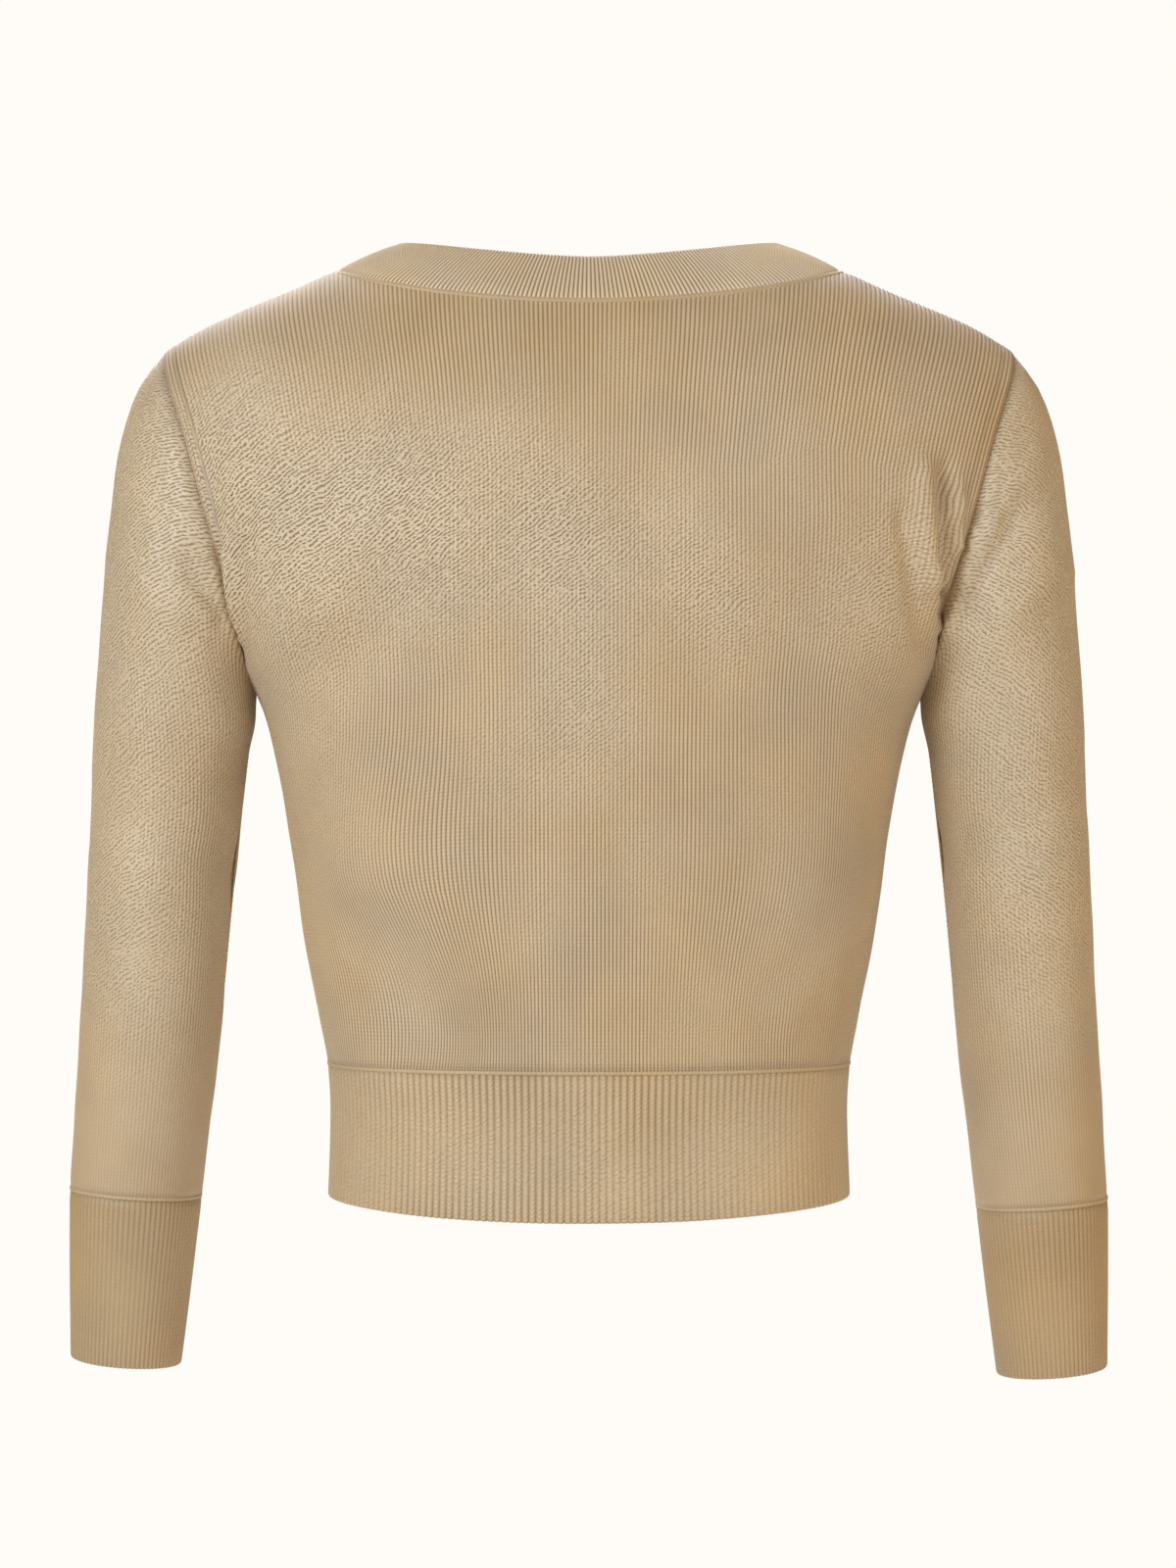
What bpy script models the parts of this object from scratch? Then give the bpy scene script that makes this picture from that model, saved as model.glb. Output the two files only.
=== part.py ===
"""A cropped, open-fronted cardigan in fine rib knit, filled out as if worn.

Every panel is a hollow cloth wall: an outer grid of points worked out from the tables below, an inner grid
one cloth thickness behind it, and rims that close the edges. Ribbed bands have their ribs raised on the
outer grid only. Neighbouring panels share their seam points and stand one seam gap apart.

Axes: +Z up, +Y towards the back of the garment, +X towards its left sleeve. The origin lies midway between
the two side-neck points, where the shoulder seams meet the neck band. Sizes are in millimetres.
"""
import math
from collections import namedtuple

import bmesh
import bpy
from mathutils import Vector

MM = 0.001

# cloth
CLOTH_WALL = 1.8
BAND_WALL = 2.4
SEAM_GAP = 0.3
RIB_HEIGHT = 0.7

# rib spacing, crest to crest
HEM_RIB = 3.0
CUFF_RIB = 2.4
NECK_RIB = 3.2

# cut
NECK_HALF = 111.0
NECK_DROP = 18.5
BAND_TOP_HALF = 83.0
BAND_TOP_DEPTH = 36.0
BAND_SIDE_HEIGHT = 12.6
BAND_BACK_HEIGHT = 2.9
BAND_WIDTH = 29.5
FRONT_EDGE_OUT = 44.0
FRONT_EDGE_CURVE = 1.7
V_DEPTH = 170.0
SHOULDER_POINT = -34.5
UNDERARM = -181.5
ARMHOLE_DEPTH = 54.0
HEM_SEAM = -346.0
HEM_EDGE = -403.0
HEM_BACK_DIP = 5.0

# how round the body is in plan (2 is an ellipse) and how large the roll over the shoulder is
BODY_ROUND = 2.4
ROLL_MIDDLE = 110.0
ROLL_ARMHOLE = 74.0

# grid of each panel
NECK_COLUMNS = 6
SHOULDER_COLUMNS = 4
FRONT_COLUMNS = 8
ARMHOLE_ROWS = 10
SIDE_HEIGHTS = (-197.0, -218.0, -244.0, -272.0, -300.0, -325.0, HEM_SEAM)
SLEEVE_SIDES = 2 * ARMHOLE_ROWS

CLOTH_COLOUR = (0.49, 0.38, 0.24, 1.0)
BAND_COLOUR = (0.45, 0.34, 0.21, 1.0)

# the body's half width at its side seams and how far it stands out behind and in front; above the
# underarm the armhole seam sets the width
BodySection = namedtuple("BodySection", "height half_width back_depth front_depth")
BODY = (
    BodySection(20.0, 200.0, 84.0, 68.0),
    BodySection(-60.0, 188.0, 92.0, 79.0),
    BodySection(-120.0, 166.0, 95.0, 97.0),
    BodySection(-181.5, 146.4, 94.0, 107.0),
    BodySection(-198.0, 140.9, 92.5, 107.0),
    BodySection(-224.0, 134.7, 89.5, 104.0),
    BodySection(-250.0, 130.4, 86.0, 99.5),
    BodySection(-289.0, 125.0, 81.5, 92.5),
    BodySection(-328.0, 117.7, 78.5, 87.0),
    BodySection(-346.0, 114.4, 77.5, 85.5),
    BodySection(-367.0, 113.1, 77.0, 85.0),
    BodySection(-410.0, 114.4, 78.0, 86.0),
)

# the shoulder seam, and inside the neck the line that the back would follow to the spine
ShoulderPoint = namedtuple("ShoulderPoint", "out height")
SHOULDER = (
    ShoulderPoint(0.0, 12.0),
    ShoulderPoint(40.0, 9.5),
    ShoulderPoint(80.0, 5.0),
    ShoulderPoint(111.0, 0.0),
    ShoulderPoint(128.0, -6.9),
    ShoulderPoint(153.0, -17.2),
    ShoulderPoint(168.0, -24.1),
    ShoulderPoint(186.0, -34.5),
)

# the armhole seam seen from behind
ArmholePoint = namedtuple("ArmholePoint", "height out")
ARMHOLE = (
    ArmholePoint(-34.5, 186.0),
    ArmholePoint(-50.0, 181.8),
    ArmholePoint(-73.0, 173.8),
    ArmholePoint(-106.0, 164.5),
    ArmholePoint(-140.0, 155.0),
    ArmholePoint(-165.0, 149.4),
    ArmholePoint(-181.5, 146.4),
)

# rings of a sleeve below the armhole: its outer line, its inner line, half its depth, how far it swings
# forward, and how much of the armhole seam's bend it keeps
SleeveSection = namedtuple("SleeveSection", "outer_x outer_z inner_x inner_z half_depth forward bend")
SLEEVE = (
    SleeveSection(197.5, -51.0, 146.6, -183.2, 53.5, 0.0, 0.5),
    SleeveSection(205.7, -76.0, 147.0, -186.0, 52.0, 0.0, 0.2),
    SleeveSection(210.1, -108.0, 147.7, -190.5, 50.0, 0.0, 0.0),
    SleeveSection(213.4, -146.0, 148.6, -200.0, 47.5, 0.0, 0.0),
    SleeveSection(216.6, -185.0, 150.9, -219.0, 45.5, 0.0, 0.0),
    SleeveSection(218.5, -224.0, 154.0, -246.0, 44.0, 0.0, 0.0),
    SleeveSection(220.2, -263.0, 157.0, -275.0, 42.5, 0.0, 0.0),
    SleeveSection(222.0, -302.0, 160.2, -308.0, 41.0, 1.0, 0.0),
    SleeveSection(224.5, -340.0, 163.8, -344.0, 39.0, 3.0, 0.0),
    SleeveSection(226.9, -375.0, 168.3, -379.0, 36.0, 7.0, 0.0),
    SleeveSection(228.9, -402.0, 171.6, -406.0, 33.5, 10.0, 0.0),
)
CUFF = (
    SleeveSection(228.9, -402.0, 171.6, -406.0, 33.5, 10.0, 0.0),
    SleeveSection(229.6, -440.0, 176.5, -444.0, 31.0, 14.5, 0.0),
    SleeveSection(229.6, -476.5, 181.5, -480.5, 29.0, 18.0, 0.0),
)

# the right sleeve hangs a little lower than the left one
Side = namedtuple("Side", "name sign drop")
SIDES = (Side("left", 1, 0.0), Side("right", -1, 4.5))
SLEEVE_DROP_START = -185.0

# the largest soft folds: a ridge, or a trough where the height is negative, along a line
Fold = namedtuple("Fold", "piece face from_x from_z to_x to_z width height")
FOLDS = (
    Fold("back", 1, 138, -168, 92, -122, 15, 2.2),
    Fold("back", 1, 126, -190, 86, -158, 13, -1.8),
    Fold("back", 1, -138, -170, -104, -112, 14, 2.4),
    Fold("back", 1, -124, -196, -80, -170, 14, -1.8),
    Fold("back", 1, 96, -262, 52, -318, 16, 1.8),
    Fold("back", 1, -92, -270, -60, -322, 17, 1.6),
    Fold("front_left", -1, 136, -170, 84, -138, 15, 2.4),
    Fold("front_left", -1, 104, -272, 66, -322, 16, 1.8),
    Fold("front_right", -1, -136, -172, -90, -130, 15, 2.4),
    Fold("front_right", -1, -100, -264, -70, -320, 16, 1.8),
    Fold("sleeve_left", 1, 156, -196, 190, -132, 12, 2.4),
    Fold("sleeve_left", 1, 160, -262, 206, -236, 14, -2.0),
    Fold("sleeve_left", -1, 164, -290, 212, -318, 14, -2.4),
    Fold("sleeve_right", 1, -156, -192, -196, -122, 12, 2.6),
    Fold("sleeve_right", 1, -164, -252, -208, -222, 14, -2.0),
    Fold("sleeve_right", -1, -164, -286, -212, -310, 14, -2.4),
)


# ---------------------------------------------------------------- curves

def mix(start, end, share):
    return start + (end - start) * share


def smooth_step(share):
    share = min(max(share, 0.0), 1.0)
    return share * share * (3 - 2 * share)


def read_curve(rows, key_name, value_name, key):
    """The value of a table's column at a key, on a smooth curve through its rows."""
    points = sorted((getattr(row, key_name), getattr(row, value_name)) for row in rows)
    keys = [point[0] for point in points]
    values = [point[1] for point in points]
    key = min(max(key, keys[0]), keys[-1])
    last = len(keys) - 1
    start = max(index for index in range(last) if keys[index] <= key)

    def slope(index):
        before, after = max(index - 1, 0), min(index + 1, last)
        return (values[after] - values[before]) / (keys[after] - keys[before])

    span = keys[start + 1] - keys[start]
    share = (key - keys[start]) / span
    bend_in = share * (1 - share) ** 2 * span * slope(start)
    bend_out = share ** 2 * (share - 1) * span * slope(start + 1)
    return mix(values[start], values[start + 1], smooth_step(share)) + bend_in + bend_out


# ---------------------------------------------------------------- the body's surface

def shoulder_height(x):
    return read_curve(SHOULDER, "out", "height", abs(x))


def shoulder_roll(x, z):
    """0 on the shoulder line, rising along a quarter circle to 1 below it."""
    radius = mix(ROLL_MIDDLE, ROLL_ARMHOLE, smooth_step(abs(x) / SHOULDER[-1].out))
    drop = min(max((shoulder_height(x) - z) / radius, 0.0), 1.0)
    return math.sqrt(1 - (1 - drop) ** 2)


def armhole_height(angle):
    """Height on the armhole seam: angle 0 is the shoulder point, pi the underarm."""
    return mix(SHOULDER_POINT, UNDERARM, (1 - math.cos(angle)) / 2)


def armhole_out(z):
    return read_curve(ARMHOLE, "height", "out", z)


def armhole_depth(z):
    share = min(max((SHOULDER_POINT - z) / (SHOULDER_POINT - UNDERARM), 0.0), 1.0)
    return ARMHOLE_DEPTH * 2 * math.sqrt(share * (1 - share))


def body_half_width(z, depth):
    """Half width of the full section, which runs on under the sleeve so that it meets the armhole seam."""
    if z <= UNDERARM:
        return read_curve(BODY, "height", "half_width", z)
    just_below = min(z, SHOULDER_POINT - 0.5)
    out = armhole_out(just_below)
    edge = armhole_depth(just_below) / (depth * shoulder_roll(out, just_below))
    return out / (1 - edge ** BODY_ROUND) ** (1 / BODY_ROUND)


def body_y(x, z, face):
    """Depth of the body's surface at a place seen from behind; face is 1 for the back, -1 for the front."""
    column = "back_depth" if face > 0 else "front_depth"
    depth = read_curve(BODY, "height", column, z)
    share = min(abs(x) / body_half_width(z, depth), 1.0)
    plan = (1 - share ** BODY_ROUND) ** (1 / BODY_ROUND)
    return face * depth * plan * shoulder_roll(x, z)


def on_body(x, z, face):
    return Vector((x, body_y(x, z, face), z))


def row_heights():
    """Heights of the panels' rows where they end on the armhole and on the side seam."""
    armhole = [armhole_height(math.pi * row / ARMHOLE_ROWS) for row in range(ARMHOLE_ROWS + 1)]
    return armhole + list(SIDE_HEIGHTS)


def row_out(z):
    return armhole_out(z) if z >= UNDERARM else body_half_width(z, 1.0)


def row_share(z):
    """How far down a row lies: 0 at the shoulder seam, 1 at the hem seam."""
    return (SHOULDER_POINT - z) / (SHOULDER_POINT - HEM_SEAM)


# ---------------------------------------------------------------- seams
# A seam point has its place, the direction that crosses the seam out of the body, and the direction of
# its rim, from the outer face of the cloth to the inner one. Both neighbours use the same three.

SeamPoint = namedtuple("SeamPoint", "place across rim")


def seam_points(places, crossings, tangents, inside):
    points = []
    for place, across, tangent in zip(places, crossings, tangents):
        across = (across - tangent * across.dot(tangent)).normalized()
        rim = tangent.cross(across).normalized()
        if rim.dot(inside - place) < 0:
            rim.negate()
        points.append(SeamPoint(place, across, rim))
    return points


def line_tangents(places, first=None, last=None):
    tangents = []
    end = len(places) - 1
    for index in range(end + 1):
        step = places[min(index + 1, end)] - places[max(index - 1, 0)]
        tangents.append(step.normalized())
    tangents[0] = first or tangents[0]
    tangents[-1] = last or tangents[-1]
    return tangents


def armhole_seam_point(angle, sign):
    """A point of the armhole seam; angles below pi lie behind, the others in front."""
    z = armhole_height(angle)
    step = 0.5
    upper, lower = min(z + step, SHOULDER_POINT), max(z - step, UNDERARM)
    down = Vector((armhole_out(lower) - armhole_out(upper), 0, lower - upper)).normalized()
    half_height = (SHOULDER_POINT - UNDERARM) / 2
    rim = down * (math.cos(angle) / half_height)
    rim.y = -math.sin(angle) / ARMHOLE_DEPTH
    place = Vector((armhole_out(z), ARMHOLE_DEPTH * math.sin(angle), z))
    across = Vector((-down.z, 0, down.x))
    mirrored = [Vector((sign * v.x, v.y, v.z)) for v in (place, across, rim.normalized())]
    return SeamPoint(*mirrored)


def neck_height(x):
    return -NECK_DROP * (1 - min(abs(x) / NECK_HALF, 1.0) ** 2) ** 0.75


def neck_columns():
    """Places across the half neck, closer together where the seam turns over the shoulder."""
    turn = math.radians(76)
    return [NECK_HALF * math.sin(turn * n / NECK_COLUMNS) / math.sin(turn) for n in range(NECK_COLUMNS + 1)]


def neck_seam():
    """The back neck seam, from the right shoulder to the left one."""
    halves = neck_columns()
    outs = [-x for x in reversed(halves[1:])] + halves
    places = [on_body(x, neck_height(x), 1) for x in outs]
    tops = [band_top(place) for place in places]
    crossings = [(top - place).normalized() for top, place in zip(tops, places)]
    sideways = line_tangents(places, Vector((0, 1, 0)), Vector((0, -1, 0)))
    return seam_points(places, crossings, sideways, Vector((0, 0, -120)))


def band_top(place):
    """The upper edge of the neck band above a point of the back neck seam."""
    out = place.x / NECK_HALF
    depth = BAND_TOP_DEPTH * math.sqrt(1 - out * out)
    height = mix(BAND_BACK_HEIGHT, BAND_SIDE_HEIGHT, abs(out) ** 1.6)
    return Vector((BAND_TOP_HALF * out, depth, height))


def front_edge_out(z):
    share = min(-z / V_DEPTH, 1.0)
    return FRONT_EDGE_OUT + (NECK_HALF - FRONT_EDGE_OUT) * (1 - share) ** FRONT_EDGE_CURVE


def hem_heights():
    return [HEM_SEAM, mix(HEM_SEAM, HEM_EDGE, 0.5), HEM_EDGE]


def front_seam(sign):
    """The seam of a front band, from the shoulder down the V and the front edge to the hem's edge."""
    heights = [HEM_SEAM * row_share(z) for z in row_heights()] + hem_heights()[1:]
    places = [on_body(sign * front_edge_out(z), z, -1) for z in heights]
    tangents = line_tangents(places, Vector((0, -1, 0)), Vector((0, 0, -1)))
    crossings = []
    for place, tangent in zip(places, tangents):
        towards_centre = on_body(place.x - sign, place.z, -1) - place
        crossings.append(towards_centre.normalized())
    shoulder = Vector((-sign * (NECK_HALF - BAND_TOP_HALF), 0, BAND_SIDE_HEIGHT))
    crossings[0] = shoulder.normalized()
    crossings[1] = (crossings[1] + crossings[0]).normalized()
    return seam_points(places, crossings, tangents, Vector((sign * NECK_HALF * 0.7, 0, -200)))


# ---------------------------------------------------------------- walls

def grid_normals(grid, closed, inside):
    """Unit normals of a grid of points, pointing away from the inside point of each row."""
    last_row, last_column = len(grid) - 1, len(grid[0]) - 1
    normals = []
    for i, row in enumerate(grid):
        line = []
        for j, point in enumerate(row):
            if closed:
                across = row[(j + 1) % len(row)] - row[j - 1]
            else:
                across = row[min(j + 1, last_column)] - row[max(j - 1, 0)]
            down = grid[min(i + 1, last_row)][j] - grid[max(i - 1, 0)][j]
            normal = across.cross(down).normalized()
            if normal.dot(point - inside[i]) < 0:
                normal.negate()
            line.append(normal)
        normals.append(line)
    return normals


def fold_height(piece, point):
    total = 0.0
    for fold in FOLDS:
        if fold.piece != piece or fold.face * point.y < 0:
            continue
        start = Vector((fold.from_x, fold.from_z))
        along = Vector((fold.to_x, fold.to_z)) - start
        place = Vector((point.x, point.z)) - start
        share = place.dot(along) / along.length_squared
        aside = (place - along * min(max(share, 0.0), 1.0)).length / fold.width
        total += fold.height * math.exp(-aside * aside)
    return total


def push_folds(piece, grid, normals, closed):
    """Moves the points inside a panel out or in by its folds; points on a seam stay."""
    for i in range(1, len(grid) - 1):
        columns = range(len(grid[i])) if closed else range(1, len(grid[i]) - 1)
        for j in columns:
            grid[i][j] = grid[i][j] + normals[i][j] * fold_height(piece, grid[i][j])


def flat_rim(normal, across):
    """The rim direction of an edge that lies in a plane: the way in, kept in that plane."""
    return (across * normal.dot(across) - normal).normalized()


def inner_grid(outer, normals, wall, rims):
    inner = [[point - normal * wall for point, normal in zip(*rows)] for rows in zip(outer, normals)]
    for (i, j), rim in rims.items():
        inner[i][j] = outer[i][j] + rim * wall
    return inner


def zip_edges(mesh, long_edge, short_edge, long_marks, short_marks):
    """Joins two edges with different numbers of points by triangles, in step with their marks."""
    a, b = 0, 0
    while a < len(long_edge) - 1 or b < len(short_edge) - 1:
        at_end = b == len(short_edge) - 1
        if at_end or (a < len(long_edge) - 1 and long_marks[a + 1] <= short_marks[b + 1]):
            mesh.faces.new((long_edge[a], long_edge[a + 1], short_edge[b]))
            a += 1
        else:
            mesh.faces.new((long_edge[a], short_edge[b + 1], short_edge[b]))
            b += 1


def make_wall(name, outer, inner, marks, closed, colour):
    """One closed cloth wall from its outer and inner grids; marks place outer columns among inner ones."""
    mesh = bmesh.new()
    outer_verts = [[mesh.verts.new(point * MM) for point in row] for row in outer]
    inner_verts = [[mesh.verts.new(point * MM) for point in row] for row in inner]
    inner_marks = list(range(len(inner[0])))
    if closed:
        outer_verts = [row + row[:1] for row in outer_verts]
        inner_verts = [row + row[:1] for row in inner_verts]
        marks = marks + [float(len(inner_marks))]
        inner_marks = inner_marks + [len(inner_marks)]
    for grid in (outer_verts, inner_verts):
        for upper, lower in zip(grid, grid[1:]):
            for j in range(len(upper) - 1):
                mesh.faces.new((upper[j], lower[j], lower[j + 1], upper[j + 1]))
    for end in (0, -1):
        zip_edges(mesh, outer_verts[end], inner_verts[end], marks, inner_marks)
    if not closed:
        rows = range(len(outer) - 1)
        for end in (0, -1):
            for i in rows:
                corner = (outer_verts[i][end], inner_verts[i][end])
                mesh.faces.new(corner + (inner_verts[i + 1][end], outer_verts[i + 1][end]))
    bmesh.ops.triangulate(mesh, faces=mesh.faces[:])
    bmesh.ops.recalc_face_normals(mesh, faces=mesh.faces[:])
    if mesh.calc_volume(signed=True) < 0:
        bmesh.ops.reverse_faces(mesh, faces=mesh.faces[:])
    data = bpy.data.meshes.new(name)
    mesh.to_mesh(data)
    mesh.free()
    data.shade_smooth()
    data.set_sharp_from_angle(angle=math.radians(50))
    data.materials.append(knit_material(name + "_knit", colour))
    piece = bpy.data.objects.new(name, data)
    bpy.context.scene.collection.objects.link(piece)
    return piece


def knit_material(name, colour):
    material = bpy.data.materials.new(name)
    material.use_nodes = True
    surface = material.node_tree.nodes["Principled BSDF"]
    surface.inputs["Base Color"].default_value = colour
    surface.inputs["Roughness"].default_value = 0.9
    surface.inputs["Metallic"].default_value = 0.0
    return material


def rib_marks(row, pitch, closed):
    """Where the valleys and crests of even ribs lie along a row, counted in its columns."""
    points = row + row[:1] if closed else row
    lengths = [0.0]
    for start, end in zip(points, points[1:]):
        lengths.append(lengths[-1] + (end - start).length)
    ribs = round(lengths[-1] / pitch)
    marks = []
    column = 0
    for step in range(2 * ribs + (0 if closed else 1)):
        place = lengths[-1] * step / (2 * ribs)
        while column < len(points) - 2 and lengths[column + 1] < place:
            column += 1
        share = (place - lengths[column]) / (lengths[column + 1] - lengths[column])
        marks.append(column + min(share, 1.0))
    return marks


def ribbed(grid, normals, marks, closed):
    """A fine grid over a coarse one, with every second column raised as a rib's crest."""
    fine = []
    for row, line in zip(grid, normals):
        points = row + row[:1] if closed else row
        outs = line + line[:1] if closed else line
        fine_row = []
        for index, mark in enumerate(marks):
            column = min(int(mark), len(points) - 2)
            share = mark - column
            lift = RIB_HEIGHT if index % 2 else 0.0
            out = mix(outs[column], outs[column + 1], share).normalized()
            fine_row.append(mix(points[column], points[column + 1], share) + out * lift)
        fine.append(fine_row)
    return fine


# ---------------------------------------------------------------- body panels

HALF_GAP = SEAM_GAP / 2
INSIDE_BODY = Vector((0, 0, -200))
UP, SIDEWAYS = Vector((0, 0, 1)), Vector((0, 1, 0))


def top_columns():
    """Places across half the back's top edge: the neck seam, then the shoulder seam."""
    steps = range(1, SHOULDER_COLUMNS + 1)
    shoulder = [mix(NECK_HALF, SHOULDER[-1].out, step / SHOULDER_COLUMNS) for step in steps]
    return neck_columns() + shoulder


def back_grid():
    tops = top_columns()
    last = len(tops) - 1
    grid = []
    for z_side in row_heights():
        share = row_share(z_side)
        even = smooth_step(share / 0.35)
        row = []
        for column in range(-last, last + 1):
            n = abs(column)
            sign = -1 if column < 0 else 1
            top = neck_height(tops[n]) if n <= NECK_COLUMNS else shoulder_height(tops[n])
            spread = mix(tops[n] / tops[-1], math.sin(math.pi / 2 * n / last), even)
            z = z_side if n == last else mix(top, HEM_SEAM, share)
            row.append(on_body(sign * row_out(z_side) * spread, z, 1))
        grid.append(row)
    return grid


def front_grid(sign):
    tops = [mix(NECK_HALF, SHOULDER[-1].out, n / FRONT_COLUMNS) for n in range(FRONT_COLUMNS + 1)]
    grid = []
    for z_side in row_heights():
        share = row_share(z_side)
        even = 1 - smooth_step(share / 0.4)
        edge, side = front_edge_out(HEM_SEAM * share), row_out(z_side)
        first_angle = math.asin(edge / side)
        row = []
        for n, top in enumerate(tops):
            straight = mix(edge, side, n / FRONT_COLUMNS)
            round_x = side * math.sin(mix(first_angle, math.pi / 2, n / FRONT_COLUMNS))
            z = z_side if n == FRONT_COLUMNS else mix(shoulder_height(top), HEM_SEAM, share)
            row.append(on_body(sign * mix(round_x, straight, even), z, -1))
        grid.append(row)
    return grid


def finish_side(grid, normals, rims, column, sign, face):
    """The armhole and side seam edges of a panel."""
    for i in range(len(grid)):
        if i <= ARMHOLE_ROWS:
            angle = math.pi * i / ARMHOLE_ROWS
            seam = armhole_seam_point(angle if face > 0 else 2 * math.pi - angle, sign)
            grid[i][column] = seam.place - seam.across * HALF_GAP
            rims[i, column] = seam.rim
        else:
            rims[i, column] = flat_rim(normals[i][column], SIDEWAYS)
        if i == 0 or i >= ARMHOLE_ROWS:
            grid[i][column].y = face * HALF_GAP


def finish_hem(grid, normals, rims):
    for column, point in enumerate(grid[-1]):
        point.z = HEM_SEAM + HALF_GAP
        rims[len(grid) - 1, column] = flat_rim(normals[-1][column], UP)


def make_back():
    grid = back_grid()
    normals = grid_normals(grid, False, [INSIDE_BODY] * len(grid))
    push_folds("back", grid, normals, False)
    rims = {}
    finish_hem(grid, normals, rims)
    for column in range(len(grid[0])):
        grid[0][column].y = max(grid[0][column].y, HALF_GAP)
        rims[0, column] = flat_rim(normals[0][column], SIDEWAYS)
    for index, seam in enumerate(neck_seam()):
        column = SHOULDER_COLUMNS + index
        grid[0][column] = seam.place - seam.across * HALF_GAP
        grid[0][column].y = max(grid[0][column].y, HALF_GAP)
        rims[0, column] = seam.rim
    finish_side(grid, normals, rims, 0, -1, 1)
    finish_side(grid, normals, rims, len(grid[0]) - 1, 1, 1)
    inner = inner_grid(grid, normals, CLOTH_WALL, rims)
    make_wall("back", grid, inner, list(range(len(grid[0]))), False, CLOTH_COLOUR)


def make_front(side):
    name = "front_" + side.name
    grid = front_grid(side.sign)
    normals = grid_normals(grid, False, [INSIDE_BODY] * len(grid))
    push_folds(name, grid, normals, False)
    rims = {}
    finish_hem(grid, normals, rims)
    for column in range(len(grid[0])):
        grid[0][column].y = -HALF_GAP
        rims[0, column] = flat_rim(normals[0][column], SIDEWAYS)
    finish_side(grid, normals, rims, FRONT_COLUMNS, side.sign, -1)
    seam = front_seam(side.sign)
    for i in range(len(grid)):
        grid[i][0] = seam[i].place - seam[i].across * HALF_GAP
        rims[i, 0] = seam[i].rim
    grid[0][0].y = -HALF_GAP
    grid[-1][0].z = HEM_SEAM + HALF_GAP
    inner = inner_grid(grid, normals, CLOTH_WALL, rims)
    make_wall(name, grid, inner, list(range(len(grid[0]))), False, CLOTH_COLOUR)


# ---------------------------------------------------------------- hem bands

def hem_grid(outs, face):
    """Three rows of points down a hem band, on the same columns as the panel above it."""
    grid = []
    for share, z in zip((0.0, 0.5, 1.0), hem_heights()):
        row = []
        for out in outs:
            dip = HEM_BACK_DIP * share * (1 - out * out) if face > 0 else 0.0
            x = out * body_half_width(z, 1.0)
            row.append(on_body(x, z - dip, face))
        grid.append(row)
    for point in grid[0]:
        point.z = HEM_SEAM - HALF_GAP
    return grid


def finish_hem_band(name, grid, rims, normals):
    for column in range(len(grid[0])):
        rims.setdefault((0, column), flat_rim(normals[0][column], UP))
    inner = inner_grid(grid, normals, BAND_WALL, rims)
    marks = rib_marks(grid[0], HEM_RIB, False)
    make_wall(name, ribbed(grid, normals, marks, False), inner, marks, False, BAND_COLOUR)


def make_hem_back():
    last = NECK_COLUMNS + SHOULDER_COLUMNS
    outs = [math.sin(math.pi / 2 * column / last) for column in range(-last, last + 1)]
    grid = hem_grid(outs, 1)
    normals = grid_normals(grid, False, [INSIDE_BODY] * len(grid))
    rims = {}
    for i, row in enumerate(grid):
        for column in (0, 2 * last):
            row[column].y = HALF_GAP
            rims[i, column] = flat_rim(normals[i][column], SIDEWAYS)
    finish_hem_band("hem_back", grid, rims, normals)


def make_hem_front(side):
    seam = front_seam(side.sign)[-3:]
    first_angle = math.asin(FRONT_EDGE_OUT / body_half_width(HEM_SEAM, 1.0))
    steps = range(FRONT_COLUMNS + 1)
    outs = [side.sign * math.sin(mix(first_angle, math.pi / 2, n / FRONT_COLUMNS)) for n in steps]
    grid = hem_grid(outs, -1)
    normals = grid_normals(grid, False, [INSIDE_BODY] * len(grid))
    rims = {}
    for i, row in enumerate(grid):
        height = row[0].z
        row[0] = seam[i].place - seam[i].across * HALF_GAP
        row[0].z = height
        rims[i, 0] = seam[i].rim
        row[-1].y = -HALF_GAP
        rims[i, FRONT_COLUMNS] = flat_rim(normals[i][-1], SIDEWAYS)
    finish_hem_band("hem_front_" + side.name, grid, rims, normals)


# ---------------------------------------------------------------- neck and front bands

def make_band(name, seam, edges):
    """A ribbed band from its seam with the body to its free edge, a little proud along its middle."""
    near = [point.place + point.across * HALF_GAP for point in seam]
    swell = 1.0
    middle = [mix(start, end, 0.5) - point.rim * swell for start, end, point in zip(near, edges, seam)]
    grid = [near, middle, list(edges)]
    for row in grid:
        for column in (0, len(row) - 1):
            keep_clear_of_shoulder(row, column, seam)
    normals = [[-point.rim for point in seam] for _ in grid]
    inner = inner_grid(grid, normals, BAND_WALL, {})
    marks = rib_marks(near, NECK_RIB, False)
    make_wall(name, ribbed(grid, normals, marks, False), inner, marks, False, BAND_COLOUR)


def keep_clear_of_shoulder(row, column, seam):
    """Ends that meet at the shoulder seam stand half a gap to their own side of it."""
    if seam[column].place.z > -1:
        behind = seam[len(seam) // 2].place.y > 0
        row[column].y = HALF_GAP if behind else -HALF_GAP


def make_neck_band():
    seam = neck_seam()
    make_band("neck_band", seam, [band_top(point.place) for point in seam])


def make_front_band(side):
    seam = front_seam(side.sign)
    edges = [point.place + point.across * BAND_WIDTH for point in seam]
    edges[0] = Vector((side.sign * BAND_TOP_HALF, 0, BAND_SIDE_HEIGHT))
    make_band("front_band_" + side.name, seam, edges)


# ---------------------------------------------------------------- sleeves and cuffs

def sleeve_drop(z, side):
    share = (SLEEVE_DROP_START - z) / (SLEEVE_DROP_START - CUFF[0].outer_z)
    return side.drop * smooth_step(share)


def ring_angles():
    return [2 * math.pi * n / SLEEVE_SIDES for n in range(SLEEVE_SIDES)]


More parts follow.
